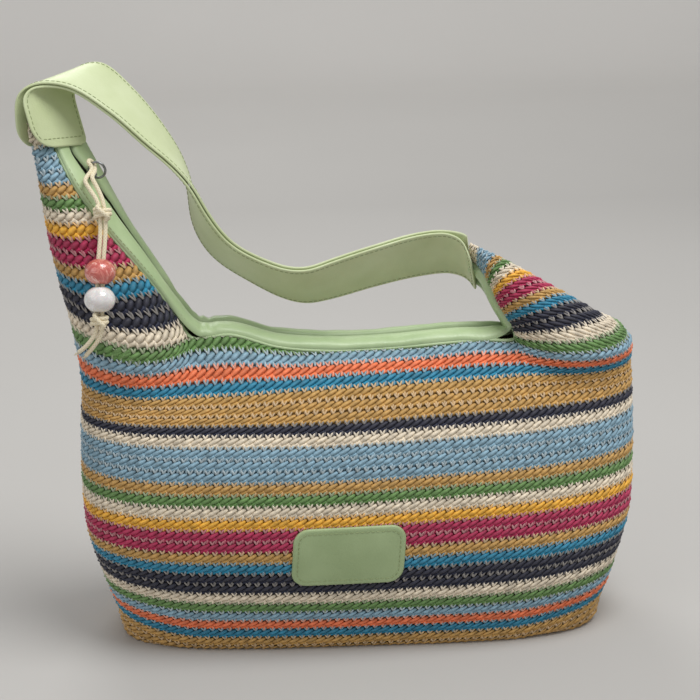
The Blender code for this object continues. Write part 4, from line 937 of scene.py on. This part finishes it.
def stitchGroup(look):
    tree, sockets = newGroup("lay stitches on the cloth", {
        "Geometry": "Geometry", "Stitch": "Object", "Cloth": "Object", "Uneven": "Float",
        "Seed": "Int"})
    start = put(tree, "NodeGroupInput")
    stitch = put(tree, "GeometryNodeObjectInfo", {"Object": start.outputs["Stitch"]})
    clothInfo = put(tree, "GeometryNodeObjectInfo", {"Object": start.outputs["Cloth"]})
    given = {}
    for name, kind in (("pitch", "FLOAT"), ("lowU", "FLOAT"), ("highU", "FLOAT"), ("highV", "FLOAT"),
                       ("cloth", "FLOAT_VECTOR"), ("outNormal", "FLOAT_VECTOR")):
        node = put(tree, "GeometryNodeInputNamedAttribute", {"Name": name}, data_type=kind)
        given[name] = node.outputs[0]
    low = put(tree, "ShaderNodeMath", {0: 1.0, 1: start.outputs["Uneven"]}, operation="SUBTRACT")
    high = put(tree, "ShaderNodeMath", {0: 1.0, 1: start.outputs["Uneven"]}, operation="ADD")
    uneven = put(tree, "FunctionNodeRandomValue", {2: low.outputs[0], 3: high.outputs[0],
                                                   "Seed": start.outputs["Seed"]}, data_type="FLOAT")
    size = put(tree, "ShaderNodeCombineXYZ", {"X": given["pitch"], "Y": crochet["rowScale"],
                                              "Z": uneven.outputs[1]})
    laid = put(tree, "GeometryNodeInstanceOnPoints", {"Points": start.outputs["Geometry"],
                                                      "Instance": stitch.outputs["Geometry"],
                                                      "Scale": size.outputs[0]})
    real = put(tree, "GeometryNodeRealizeInstances", {"Geometry": laid.outputs[0]})
    place = put(tree, "GeometryNodeInputPosition")
    parts = put(tree, "ShaderNodeSeparateXYZ", {0: place.outputs[0]})
    # kept on the cloth's UV, then raised from the cloth there
    lowV = (crochet["firstRow"] + crochet["clear"]) * crochet["rowScale"]
    u, v = parts.outputs["X"], parts.outputs["Y"]
    for operation, limitU, limitV in (("MAXIMUM", given["lowU"], lowV),
                                      ("MINIMUM", given["highU"], given["highV"])):
        u = put(tree, "ShaderNodeMath", {0: u, 1: limitU}, operation=operation).outputs[0]
        v = put(tree, "ShaderNodeMath", {0: v, 1: limitV}, operation=operation).outputs[0]
    flat = put(tree, "ShaderNodeCombineXYZ", {"X": u, "Y": v})
    sampled = [put(tree, "GeometryNodeSampleUVSurface", {"Mesh": clothInfo.outputs["Geometry"],
                                                         "Value": value, "UV Map": given["cloth"],
                                                         "Sample UV": flat.outputs[0]},
                   data_type="FLOAT_VECTOR") for value in (place.outputs[0], given["outNormal"])]
    raised = put(tree, "ShaderNodeVectorMath", {0: sampled[1].outputs[0], "Scale": parts.outputs["Z"]},
                 operation="SCALE")
    onCloth = put(tree, "ShaderNodeVectorMath", {0: sampled[0].outputs[0], 1: raised.outputs[0]})
    above = put(tree, "ShaderNodeVectorMath", {0: onCloth.outputs[0],
                                               1: (-9.0, -9.0, crochet["lowest"])},
                operation="MAXIMUM")
    moved = put(tree, "GeometryNodeSetPosition", {"Geometry": real.outputs[0],
                                                  "Position": above.outputs[0]})
    painted = put(tree, "GeometryNodeSetMaterial", {"Geometry": moved.outputs[0], "Material": look})
    put(tree, "NodeGroupOutput", {0: painted.outputs[0]})
    return tree, sockets


def stitchRows(key, rows, grid):
    # the row of stitches at each point of a panel: the rim rises at the left, where short rows fill it
    rows = np.asarray(rows, float)[:, None] + np.zeros(grid.shape[1])
    if key == "right":
        return rows
    shares = np.linspace(0, 1 if key == "left" else 1 / crochet["cornerShare"], grid.shape[1])
    more = crochet["shortRows"] * ease(0.0, 1.0, shares)
    below = np.clip((rows - crochet["shortFrom"]) / (bag["bodyRows"] - crochet["shortFrom"]), 0, 1)
    above = np.clip((bag["bodyRows"] + crochet["shortFade"] - rows) / crochet["shortFade"], 0, 1)
    if key == "body":
        more = more * (1 - ease(bag["mouthLeft"], crochet["shortEnd"], grid[-1, :, 0]))
    return rows + more * below**crochet["shortPower"] * above


def stitchPlaces(islands, rowsWanted):
    # one point per stitch: u along the row, v up the rows
    found = {"place": [], "pitch": [], "lowU": [], "highU": [], "highV": [], "yarn": []}
    for number, key in enumerate(("body", "left", "right")):
        rows, grid = islands[key]
        beyond = crochet["beyondSeam"] / (grid.shape[1] - 1)
        offset = number * crochet["islandStep"]
        rowsOf = stitchRows(key, rows, grid)
        corner = crochet["cornerShare"]
        rimRows = stitchRows(key, [bag["bodyRows"] + crochet["rimRise"]], grid)[0]
        ends = ((crochet["firstRow"], bag["bodyRows"] + 1) if key == "body"
                else (bag["bodyRows"], topRow))
        for row in rowsWanted:
            if not ends[0] <= row < ends[1]:
                continue
            shared = row == bag["bodyRows"]
            line = grid[int(np.argmin(np.abs(rows - (row + 0.5))))]
            count = int(round(lengthsOf(line)[-1] / crochet["pitch"]))
            for i in range(count):
                column = int(i / count * (grid.shape[1] - 1))
                middle = key == "body" and corner < i / count < 1 - corner
                top = rimRows[column] if middle else rowsOf[-1, column]
                half = rowsOf[-1, column] - rows[-1] < crochet["shortRows"] / 2
                if shared and key == "body" and (row + crochet["leastRow"] > top if middle else half):
                    continue
                if shared and key == "left" and i / count > crochet["sharedFrom"]:
                    continue
                found["place"].append((offset + (i + 0.5) / count, row * crochet["rowScale"], 0.0))
                found["pitch"].append(1 / count)
                found["lowU"].append(offset - beyond)
                found["highU"].append(offset + (1 + beyond if key == "body" else 1.0))
                found["highV"].append((top - crochet["clear"]) * crochet["rowScale"])
                found["yarn"].append(yarnOf(row))
    return found


def backingCloth(name, islands, side):
    # the body of the cloth behind the stitches, seen only through their gaps, in its yarn colours at
    # half brightness as painted shade
    points = []
    faces = []
    colours = []
    for key in ("body", "left", "right"):
        rows, grid = islands[key]
        normals = gridNormals(grid, side, key)
        start = len(points)
        points += (grid + normals * crochet["backingDepth"]).reshape(-1, 3).tolist()
        made = gridFaces(len(rows), grid.shape[1], start)
        faces += made
        rowsOf = stitchRows(key, rows, grid)
        colours += [yarnOf(math.floor(row + 0.01)) for line in rowsOf[:-1] for row in line[:-1]]
    faces.append(tuple(range(crochet["bodyColumns"])))
    colours.append(yarnOf(-1))
    made = outward(meshObject(name, points, faces, strawInPaintedShade))
    addAttribute(made, "yarn", "FLOAT_COLOR", "FACE", colours)
    wallOf = made.modifiers.new("cloth thickness", "SOLIDIFY")
    wallOf.thickness = crochet["backing"]
    wallOf.offset = -1.0
    return finished(made)


def buildCloth():
    panels = {-1: islandsOf(-1), 1: islandsOf(1)}
    stitch = buildStitch()
    group = stitchGroup(straw)
    for side, word in ((-1, "front"), (1, "back")):
        sampler = samplerOf(word + "_cloth_sampler", panels[side], panels[-side], side)
        for part, rowsWanted in (("lower", range(crochet["firstRow"], crochet["splitRow"])),
                                 ("upper", range(crochet["splitRow"], topRow))):
            found = stitchPlaces(panels[side], rowsWanted)
            points = meshObject(word + "_" + part + "_stitches", found["place"], [], straw)
            for key in ("pitch", "lowU", "highU", "highV"):
                addAttribute(points, key, "FLOAT", "POINT", found[key])
            addAttribute(points, "yarn", "FLOAT_COLOR", "POINT", found["yarn"])
            grouped(points, "stitches", group, {
                "Stitch": stitch, "Cloth": sampler, "Uneven": crochet["uneven"],
                "Seed": crochet["seed"] + side})
            placed(points, "bag", "woven_" + word)
            print(points.name, len(points.data.polygons), "faces")
        backing = backingCloth(word + "_cloth_backing", panels[side], side)
        placed(backing, "bag", "woven_" + word)
        bpy.data.objects.remove(sampler)
    bpy.data.objects.remove(stitch)


buildCloth()
print("cloth made")

# The mouth: bands, piping and zip
mouth = {
    "facingStart": 0.045, "facingCornerStart": 0.24, "cornerRow": 33, "facingGap": 0.070,
    "facingLift": 0.0010, "facingThickness": 0.0014, "facingCrown": 0.0011, "earCrown": 0.12,
    "pipingRadius": 0.00125, "pipingBeyond": 0.0017, "pipingInset": 0.0006, "stations": 220,
    "zipDepth": 0.0040, "zipFirst": 2, "zipLast": -2, "zipStraight": 5,
    "tapeInner": 0.0031, "tapeOuter": 0.0076, "tapeThickness": 0.0006, "tapeFolded": 0.35,
    "toothSlot": 0.0007, "toothReach": 0.0019, "toothHeight": 0.0018, "toothDrop": -0.0006,
    "toothPitch": 0.00125, "zipShares": (0.34, 0.66), "zipEndsClear": 0.0006, "zipRings": 200,
    "bandColumns": 13, "bandEdge": 0.10, "seamIn": 0.05, "seamEnds": 6, "gapAtTip": 0.25,
    "cornerWidth": 0.014, "earEnds": (0.26, 0.36), "edgeDrop": (0.0012, 0.12), "pipingRings": 260,
    "ripples": ((0.00022, 5.3), (0.00016, 11.7), (0.00010, 23.0)),  # height and waves
    "pucker": (0.0007, 0.40, 0.022, 46),  # height, place, width and folds
}
# part and row, or share of the straight stretch between the ears
mouthStations = ([("left", row) for row in (43.9, 42.5, 41, 39, 37, 35, 33, 31, 29.3)]
                 + [("middle", share) for share in (0.04, 0.13, 0.27, 0.43, 0.62, 0.82, 0.93)]
                 + [("right", row) for row in (30.3, 32, 34, 36, 38, 40, 42, 43.9)])
pipingStations = ([("left", row) for row in range(42, 27, -1)]
                  + [("middle", share) for share in (0.01, 0.13, 0.27, 0.43, 0.62, 0.82, 0.92, 0.97)]
                  + [("right", row) for row in (27.5, 28.5, 29.5, 31, 32, 33.5, 35, 36.5, 38, 39.5,
                                                40.5)])


def sectionAt(ear, row):
    knots = [section[0] for section in ear]
    values = [np.concatenate([s[1], s[2], s[3], s[4:]]) for s in ear]
    mixed = through(knots, values, row)[0]
    return (row, mixed[0:3], mixed[3:6], mixed[6:9], *mixed[9:])


def mouthArc(station):
    # the open arc from the front rim (share 0) to the back rim (share 1)
    part, place = station
    share = np.linspace(0, 1, 41)
    at = ([place], [bag["bodyRows"]]) if part == "middle" else ([1.0], [place])
    front, back = (clothAt(side, part, *at)[0, 0] for side in (-1, 1))
    if part == "middle":
        line = front + (back - front) * share[:, None]
        line[:, 2] += bag["crown"] * 4 * share * (1 - share)
        return line
    ear = leftEar if part == "left" else rightEar
    centre, across, inward, halfWidth, halfThickness, first, last = earFrame(sectionAt(ear, place))
    angle = np.radians(first + (360 - last - first) * share)
    line = (centre - np.cos(angle)[:, None] * halfThickness * inward
            - np.sin(angle)[:, None] * halfWidth * across)
    return line + (1 - share)[:, None] * (front - line[0]) + share[:, None] * (back - line[-1])


def normalsOf(arcs):
    return unit(np.cross(unit(np.gradient(arcs, axis=0)), unit(np.gradient(arcs, axis=1))))


def mouthPoint(arcs, normals, share, lift):
    place = np.broadcast_to(share, len(arcs)) * (arcs.shape[1] - 1)
    low = np.minimum(place.astype(int), arcs.shape[1] - 2)
    blend = (place - low)[:, None]
    each = np.arange(len(arcs))
    point = arcs[each, low] * (1 - blend) + arcs[each, low + 1] * blend
    normal = unit(normals[each, low] * (1 - blend) + normals[each, low + 1] * blend)
    return point + normal * np.asarray(lift).reshape(-1, 1)


def zipFrame(arcs, normals):
    first, last = mouth["zipFirst"], mouth["zipStraight"]
    middle = mouthPoint(arcs, normals, 0.5, -mouth["zipDepth"])[first:mouth["zipLast"]]
    across = unit(mouthPoint(arcs, normals, 0.58, 0.0) - mouthPoint(arcs, normals, 0.42, 0.0))
    across = across[first:mouth["zipLast"]]
    centre = middle[1:last + 1].mean(axis=0)
    run = unit(middle[last] - middle[1])
    for i in range(last + 1):
        middle[i] = centre + ((middle[i] - centre) @ run) * run
    level = unit(across[1:last + 1].mean(axis=0))
    across[:last + 1] = unit(level - (level @ run) * run)
    along = unit(np.gradient(middle, axis=0))
    along[:last + 1] = run
    across = unit(across - np.sum(across * along, axis=1, keepdims=True) * along)
    return middle, across, unit(np.cross(along, across)), run


def zipShares(arcs, lines):
    middle, _, out, run = lines
    shares = np.full(len(arcs), 0.5)
    for i in range(mouth["zipFirst"] + mouth["zipStraight"] + 1):
        fromLine = arcs[i] - (middle[0] + out[0] * mouth["zipDepth"])
        fromLine = fromLine - (fromLine @ run)[:, None] * run
        shares[i] = np.argmin(np.linalg.norm(fromLine, axis=1)) / (arcs.shape[1] - 1)
    return np.clip(shares, *mouth["zipShares"])


def rimSkin(side):
    # points of the cloth's two faces near the rim
    skins = []
    for lift in (bag["cloth"] / 2 + bag["ridge"], -bag["cloth"] / 2):
        for part, low, columns, high, count in (
                ("middle", 0, 60, bag["bodyRows"], 12), ("left", 0.70, 14, 43, 60),
                ("right", 0.70, 14, 43, 60)):
            at = (side, part, np.linspace(low, 1, columns), np.linspace(24.5, high, count))
            skins.append((clothAt(*at) + clothNormals(*at) * lift).reshape(-1, 3))
    return np.concatenate(skins)


def keptClear(line, others, distance):
    # a line pushed away from the points it comes too near
    for _ in range(12):
        for number, point in enumerate(line):
            away = point - others
            apart = np.linalg.norm(away, axis=1)
            nearest = np.argmin(apart)
            if apart[nearest] < distance:
                line[number] = point + unit(away[nearest]) * (distance - apart[nearest]) * 0.7
    return line


def pipingLine(side):
    line = []
    for part, place in pipingStations:
        if side == 1 and part == "right" and place < mouth["cornerRow"]:
            continue
        at, nearer = ((([place], [bag["bodyRows"]]), ([place], [bag["bodyRows"] - 0.3]))
                      if part == "middle" else (([1.0], [place]), ([0.97], [place])))
        edge = clothAt(side, part, *at)[0, 0]
        normal = clothNormals(side, part, *at)[0, 0]
        beyond = edge - clothAt(side, part, *nearer)[0, 0]
        line.append(edge + unit(beyond) * mouth["pipingBeyond"] - normal * mouth["pipingInset"])
    return keptClear(np.array(line), rimSkin(side), mouth["pipingBeyond"])


def densely(values, count):
    # stations joined by a smooth curve, spread evenly by the first column's length
    length = lengthsOf(values.reshape(len(values), -1, values.shape[-1])[:, values.shape[1] // 2]
                       if values.ndim == 3 else values)
    return through(length, values, np.linspace(0, length[-1], count)), length


def bandProfile(count):
    # across a band: a rounded near edge, a soft crown and a rounded far edge
    t = np.linspace(0, 1, count)
    within = np.clip(mouth["bandEdge"] - np.minimum(t, 1 - t), 0, None) / mouth["bandEdge"]
    return t, np.sqrt(np.clip(1 - within**2, 0, 1)), np.sin(np.pi * t)


def layBand(name, arcs, normals, lowShare, highShare, look, seed):
    random = np.random.default_rng(seed)
    t, edge, crown = bandProfile(mouth["bandColumns"])
    stations = np.linspace(0, 1, len(arcs))
    ripple = sum(height * np.sin(2 * math.pi * (waves * stations + random.random()))
                 for height, waves in mouth["ripples"])
    flat = mouth["earCrown"] + (1 - mouth["earCrown"]) * ease(*mouth["earEnds"], stations)
    height, place, width, folds = mouth["pucker"]
    pucker = (height * np.exp(-((stations - place) / width)**2)
              * np.sin(2 * math.pi * stations * folds))
    drop, dropWidth = mouth["edgeDrop"]
    top = []
    under = []
    for i in range(mouth["bandColumns"]):
        share = lowShare + (highShare - lowShare) * t[i]
        lift = mouth["facingLift"] + crown[i] * flat * (mouth["facingCrown"] + ripple + pucker)
        lift = lift - drop * np.clip(dropWidth - t[i], 0, None) / dropWidth
        half = mouth["facingThickness"] / 2 * (0.12 + 0.88 * edge[i])
        top.append(mouthPoint(arcs, normals, share, lift + mouth["facingThickness"] / 2 + half))
        under.append(mouthPoint(arcs, normals, share, lift + mouth["facingThickness"] / 2 - half))
    return loft(name, np.stack(top + under[::-1], axis=1), look)


def sewingGroup():
    tree, sockets = newGroup("lay shapes along a line", {"Geometry": "Geometry", "Shape": "Object",
                                                         "Look": "Material"})
    start = put(tree, "NodeGroupInput")
    shape = put(tree, "GeometryNodeObjectInfo", {"Object": start.outputs["Shape"]})
    along = put(tree, "GeometryNodeInputNamedAttribute", {"Name": "along"}, data_type="FLOAT_VECTOR")
    out = put(tree, "GeometryNodeInputNamedAttribute", {"Name": "out"}, data_type="FLOAT_VECTOR")
    turn = put(tree, "FunctionNodeAxesToRotation", {"Primary Axis": along.outputs[0],
                                                    "Secondary Axis": out.outputs[0]},
               primary_axis="X", secondary_axis="Z")
    laid = put(tree, "GeometryNodeInstanceOnPoints", {"Points": start.outputs["Geometry"],
                                                      "Instance": shape.outputs["Geometry"],
                                                      "Rotation": turn.outputs[0]})
    real = put(tree, "GeometryNodeRealizeInstances", {"Geometry": laid.outputs[0]})
    painted = put(tree, "GeometryNodeSetMaterial", {"Geometry": real.outputs[0],
                                                    "Material": start.outputs["Look"]})
    put(tree, "NodeGroupOutput", {0: painted.outputs[0]})
    return tree, sockets


def pillShape(name, halfLength, halfWidth, halfHeight):
    rings, sides = 5, 8
    share = np.linspace(-1, 1, rings + 2)[1:-1]
    size = np.sqrt(1 - np.abs(share)**3)
    angle = np.arange(sides) * 2 * math.pi / sides
    points = [(s * halfLength, r * halfWidth * math.cos(a), r * halfHeight * math.sin(a))
              for s, r in zip(share, size) for a in angle]
    faces = gridFaces(rings, sides, 0, True)
    points += [(-halfLength, 0, 0), (halfLength, 0, 0)]
    faces += [((c + 1) % sides, c, rings * sides) for c in range(sides)]
    last = (rings - 1) * sides
    faces += [(last + c, last + (c + 1) % sides, rings * sides + 1) for c in range(sides)]
    return outward(meshObject(name, points, faces))


sewing = {"group": sewingGroup(), "stitch": pillShape("sewing_stitch", 0.00125, 0.00024, 0.00024),
          "pitch": 0.0030, "sink": 0.00005}


def laidAlong(name, places, along, out, shape, look):
    # one shape at each place, its x along the line and its z outward
    made = meshObject(name, places, [], look)
    addAttribute(made, "along", "FLOAT_VECTOR", "POINT", along)
    addAttribute(made, "out", "FLOAT_VECTOR", "POINT", out)
    return grouped(made, "laid shapes", sewing["group"], {"Shape": shape, "Look": look})


def sewn(name, lines, look):
    # rows of sewing stitches: each row is a line of points with the way out of the leather
    places = []
    along = []
    outs = []
    for line, out in lines:
        length = lengthsOf(line)
        count = max(2, int(length[-1] / sewing["pitch"]))
        at = (np.arange(count) + 0.5) / count * length[-1]
        normal = unit(columnsAt(at, length, out))
        places += (columnsAt(at, length, line) + normal * sewing["sink"]).tolist()
        along += unit(columnsAt(at, length, np.gradient(line, axis=0))).tolist()
        outs += normal.tolist()
    return laidAlong(name, places, along, outs, sewing["stitch"], look)


def buildMouth():
    coarse = np.stack([mouthArc(station) for station in mouthStations])
    coarseNormals = normalsOf(coarse)
    lines = zipFrame(coarse, coarseNormals)
    middleShare = zipShares(coarse, lines)
    corner = [place > 0.8 if part == "middle" else part == "right" and place < mouth["cornerRow"] + 1
              for part, place in mouthStations]
    backLow = np.where(corner, mouth["facingCornerStart"], mouth["facingStart"])
    arcs, length = densely(coarse, mouth["stations"])
    normals = normalsOf(arcs)
    places = np.linspace(0, length[-1], mouth["stations"])
    middle = np.interp(places, length, middleShare)
    backEdge = 1 - np.interp(places, length, backLow)
    cornerAt = (length[8] + length[9]) / 2
    low = mouth["facingStart"] * (1 - np.exp(-((places - cornerAt) / mouth["cornerWidth"])**2))
    gap = mouth["facingGap"] * (mouth["gapAtTip"]
                                + (1 - mouth["gapAtTip"]) * ease(length[1], length[3], places))
    lift = mouth["facingLift"] + mouth["facingThickness"] - 0.0002
    inner = slice(mouth["seamEnds"], -mouth["seamEnds"])
    threads = []
    for name, near, far, edge, seed in (
            ("front", low, middle - gap, low + mouth["seamIn"], 11),
            ("back", middle + gap, backEdge, backEdge - mouth["seamIn"], 12)):
        band = layBand("mouth_band_" + name, arcs, normals, near, far, bandLeather, seed)
        placed(band, "bag", "facing_" + name)
        row = mouthPoint(arcs, normals, edge, lift)
        out = mouthPoint(arcs, normals, edge, lift + 0.001) - row
        threads.append((row[inner], unit(out[inner])))
    placed(sewn("mouth_band_stitching", threads, sewingThread), "bag")
    for name, side in (("front", -1), ("back", 1)):
        line = smoothLine(pipingLine(side), mouth["pipingRings"])
        roll = tubeMesh("piping_roll_" + name, line, mouth["pipingRadius"], 10, bandLeather)
        placed(roll, "bag", "piping_" + name)
    buildZip(lines)


def buildZip(lines):
    middle, across, out, _ = lines
    length = lengthsOf(middle)
    places = np.linspace(0, length[-1], mouth["zipRings"])
    centre = through(length, middle, places)
    over = unit(through(length, across, places))
    up = unit(through(length, out, places))
    reach = np.interp(places, length[:2], (mouth["tapeFolded"], 1.0))
    clear = mouth["zipEndsClear"]
    spacing = np.arange(clear, length[-1] - clear, mouth["toothPitch"])
    tooth = pillShape("coil_turn", mouth["toothReach"] / 2, mouth["toothPitch"] * 0.42,
                      mouth["toothHeight"] / 2)
    for name, side in (("front", -1), ("back", 1)):
        rings = []
        for i in range(len(places)):
            inner = side * mouth["tapeInner"]
            outer = side * (mouth["tapeInner"] + (mouth["tapeOuter"] - mouth["tapeInner"]) * reach[i])
            rings.append([centre[i] + a * over[i] + h * up[i] for a, h in
                          ((inner, 0), (outer, 0), (outer, mouth["tapeThickness"]),
                           (inner, mouth["tapeThickness"]))])
        tape = loft("zip_tape_weave_" + name, rings, zipTape, smooth=False)
        placed(tape, "bag", "zip_tape_" + name)
        at = spacing + (mouth["toothPitch"] / 2 if side > 0 else 0)
        point = through(length, middle, at)
        sideways = unit(through(length, across, at)) * side
        upward = unit(through(length, out, at))
        offset = mouth["toothSlot"] + mouth["toothReach"] / 2
        height = mouth["toothDrop"] + mouth["toothHeight"] / 2
        teeth = laidAlong("zip_coil_" + name, point + sideways * offset + upward * height, sideways,
                          upward, tooth, zipCoil)
        placed(teeth, "bag", "zip_teeth_" + name)
    bpy.data.objects.remove(tooth)


buildMouth()
print("mouth made")


# The strap
strap = {
    "width": 0.038, "ply": 0.00145, "offset": 0.0010, "softening": 120, "stations": 190,
    "openInside": 0.0074, "openOutside": 0.0034, "outerShorter": 0.0075, "edge": 0.0022,
    "route": (  # middle line, way across, how far the two plies stand apart
        ((-0.1700, 0.0000, 0.2978), (0.72, 0.69, -0.10), 1.15),
        ((-0.1718, 0.0015, 0.3152), (0.72, 0.69, -0.08), 0.68),
        ((-0.1722, 0.003, 0.3265), (0.71, 0.70, -0.05), 0.30),
        ((-0.1675, 0.005, 0.3338), (0.68, 0.73, 0.05), 0.0),
        ((-0.1530, 0.008, 0.3362), (0.54, 0.83, 0.17), 0.0),
        ((-0.1315, 0.007, 0.3215), (0.38, 0.91, 0.15), 0.0),
        ((-0.113, 0.004, 0.3015), (0.28, 0.95, 0.06), 0.0),
        ((-0.102, 0.002, 0.288), (0.17, 0.98, -0.06), 0.0),
        ((-0.094, 0.000, 0.273), (0.03, 0.97, -0.21), 0.0),
        ((-0.089, -0.001, 0.255), (-0.14, 0.91, -0.36), 0.0),
        ((-0.079, -0.001, 0.238), (-0.20, 0.88, -0.42), 0.0),
        ((-0.057, 0.000, 0.222), (-0.12, 0.83, -0.54), 0.0),
        ((-0.036, -0.001, 0.213), (0.00, 0.72, -0.68), 0.0),
        ((-0.028, -0.001, 0.212), (0.03, 0.68, -0.73), 0.0),
        ((-0.018, 0.000, 0.214), (0.06, 0.64, -0.76), 0.0),
        ((0.014, 0.002, 0.222), (0.07, 0.60, -0.79), 0.0),
        ((0.038, 0.006, 0.226), (0.10, 0.57, -0.81), 0.0),
        ((0.0565, 0.009, 0.2262), (0.16, 0.58, -0.80), 0.0),
        ((0.0693, 0.0112, 0.2220), (0.22, 0.60, -0.77), 0.42),
        ((0.0760, 0.0105, 0.2168), (0.25, 0.65, -0.71), 0.95),
    ),
    "corners": ((0.013, 0.005), (0.004, 0.004)), "sewnFrom": 0.004, "sewnTo": 0.0035,
    "endsFiner": 0.35, "faceCrown": 1.05, "stitchLift": 0.00005,
}


def soften(values, rounds):
    values = values.copy()
    for _ in range(rounds):
        values[1:-1] = (values[:-2] + 2 * values[1:-1] + values[2:]) / 4
    return values


def cutBy(distance, radius):
    # how much a rounded corner takes off the half width, at a distance from the strap's end
    inside = np.clip(radius - distance, 0, radius)
    return radius - np.sqrt(np.maximum(radius**2 - inside**2, 0))


def buildStrap():
    route = np.array([np.concatenate([c, a, [s]]) for c, a, s in strap["route"]])
    length = lengthsOf(route[:, :3])
    fine = np.linspace(0, length[-1], 600)
    dense = soften(through(length, route, fine), strap["softening"])
    places = length[-1] * (1 - np.cos(np.linspace(0, math.pi, strap["stations"]))) / 2
    places = (strap["endsFiner"] * places
              + (1 - strap["endsFiner"]) * np.linspace(0, length[-1], strap["stations"]))
    line = columnsAt(places, fine, dense)
    along = unit(np.gradient(line[:, :3], axis=0))
    across = unit(line[:, 3:6])
    inside = unit(np.cross(across, along))
    spread = np.maximum(line[:, 6:7], 0.0)
    half = strap["width"] / 2
    radius = strap["ply"] / 2
    # round one ply: an edge or a share of the half width, how far beyond it, and the height
    profile = []
    for edge, start, face, shares in (("high", -90, 1, (0.6, 0.2, -0.2, -0.6)),
                                      ("low", 90, -1, (-0.6, -0.2, 0.2, 0.6))):
        profile += [(edge, math.cos(turn) * radius, math.sin(turn) * radius)
                    for turn in np.radians(range(start, start + 181, 36))]
        profile += [(share, 0.0, face * radius * strap["faceCrown"]) for share in shares]
    threads = []
    whole = (places, line, across, inside, spread)
    for name, side, opened, shorter in (
            ("inner_ply", 1, strap["openInside"], 0.0),
            ("outer_ply", -1, strap["openOutside"], strap["outerShorter"])):
        last = whole[0][-1] - shorter
        places, line, across, inside, spread = [values[whole[0] <= last] for values in whole]
        low, high = (half - cutBy(places, first) - cutBy(last - places, second)
                     for first, second in zip(*strap["corners"]))
        middle = line[:, :3] + side * inside * (strap["offset"] + opened * spread)
        rings = []
        for place, beyond, height in profile:
            if place == "high":
                sideways = high - radius + beyond
            elif place == "low":
                sideways = -(low - radius) + beyond
            else:
                sideways = place * (high if place > 0 else low)
            rings.append(middle + sideways[:, None] * across + side * height * inside)
        ply = loft("strap_" + name + "_leather", np.stack(rings, axis=1), leather)
        placed(ply, "bag", "strap_" + name)
        face = middle + side * (radius + strap["stitchLift"]) * inside
        out = side * inside
        reachLow = -(low - strap["edge"])
        reachHigh = high - strap["edge"]
        inner = slice(*np.searchsorted(places, (strap["sewnFrom"], places[-1] - strap["sewnTo"])))
        for reach in (reachLow, reachHigh):
            threads.append(((face + reach[:, None] * across)[inner], out[inner]))
        for end in (inner.start, inner.stop - 1):
            reach = np.linspace(reachLow[end] + 0.001, reachHigh[end] - 0.001, 12)
            threads.append((face[end] + reach[:, None] * across[end],
                            np.repeat(out[end:end + 1], 12, axis=0)))
    placed(sewn("strap_stitching", threads, sewingThread), "bag")


buildStrap()
print("strap made")


# The leather patch, left bare
patch = {
    "halfLength": 0.0325, "halfHeight": 0.01846, "corner": 0.009, "thickness": 0.0017,
    "lift": 0.00105, "x": -0.011, "row": 9.5, "inset": 0.0032, "sides": 96, "seamSides": 120,
    # from the rim inward: how far in, and the share of the thickness there
    "profile": ((0.0, 0.0), (0.0, 0.45), (0.0004, 0.85), (0.0011, 1.0), (0.0022, 1.0), (0.0030, 0.94),
                (0.0035, 0.94), (0.0044, 1.0), (0.0080, 1.03), (0.0120, 1.05), (0.0155, 1.06)),
    "smallestCorner": 0.002, "seamHeight": 0.96,
}


def patchPlace(outline, lift):
    # the points of an outline, laid on the front panel at one height above it
    shares = (patch["x"] + outline[:, 0] - bag["mouthLeft"]) / (bag["mouthRight"] - bag["mouthLeft"])
    rows = patch["row"] + outline[:, 1] / crochet["rowHeight"]
    return np.stack([clothAt(-1, "middle", [s], [r])[0, 0]
                     + clothNormals(-1, "middle", [s], [r])[0, 0] * lift
                     for s, r in zip(shares, rows)])


def roundedOutline(inset, count):
    halfLength, halfHeight = patch["halfLength"] - inset, patch["halfHeight"] - inset
    corner = max(patch["corner"] - inset, patch["smallestCorner"])
    path = []
    for centreX, centreY, start in ((1, 1, 0), (-1, 1, 90), (-1, -1, 180), (1, -1, 270)):
        for a in np.radians(np.linspace(start, start + 90, 13)):
            path.append((centreX * (halfLength - corner) + corner * math.cos(a),
                         centreY * (halfHeight - corner) + corner * math.sin(a)))
    path.append(path[0])
    return byLength(np.array(path), np.linspace(0, 1, count + 1))[:-1]


def buildPatch():
    count = patch["sides"]
    rings = [patchPlace(roundedOutline(inset, count), patch["lift"] + patch["thickness"] * share)
             for inset, share in patch["profile"]]
    faces = gridFaces(len(rings), count, 0, True)
    faces += [tuple(range((len(rings) - 1) * count, len(rings) * count)), tuple(range(count))[::-1]]
    made = outward(meshObject("mint_patch", np.concatenate(rings), faces, shadedPatchLeather))
    placed(made, "bag", "leather_patch")
    outline = roundedOutline(patch["inset"], patch["seamSides"])
    outline = np.vstack([outline, outline[:1]])
    height = patch["lift"] + patch["thickness"] * patch["seamHeight"]
    row, above = (patchPlace(outline, lift) for lift in (height, height + 0.001))
    placed(sewn("patch_stitching", [(row, unit(above - row))], sewingThread), "bag")


buildPatch()
bpy.data.objects.remove(sewing["stitch"])
print("patch made")


# What the frame's own shapes keep
for name, look in (("lining", liningLook), ("zip_slider", nickelLook)):
    kept = bpy.data.objects[name]
    for slot in kept.material_slots:
        slot.material = look
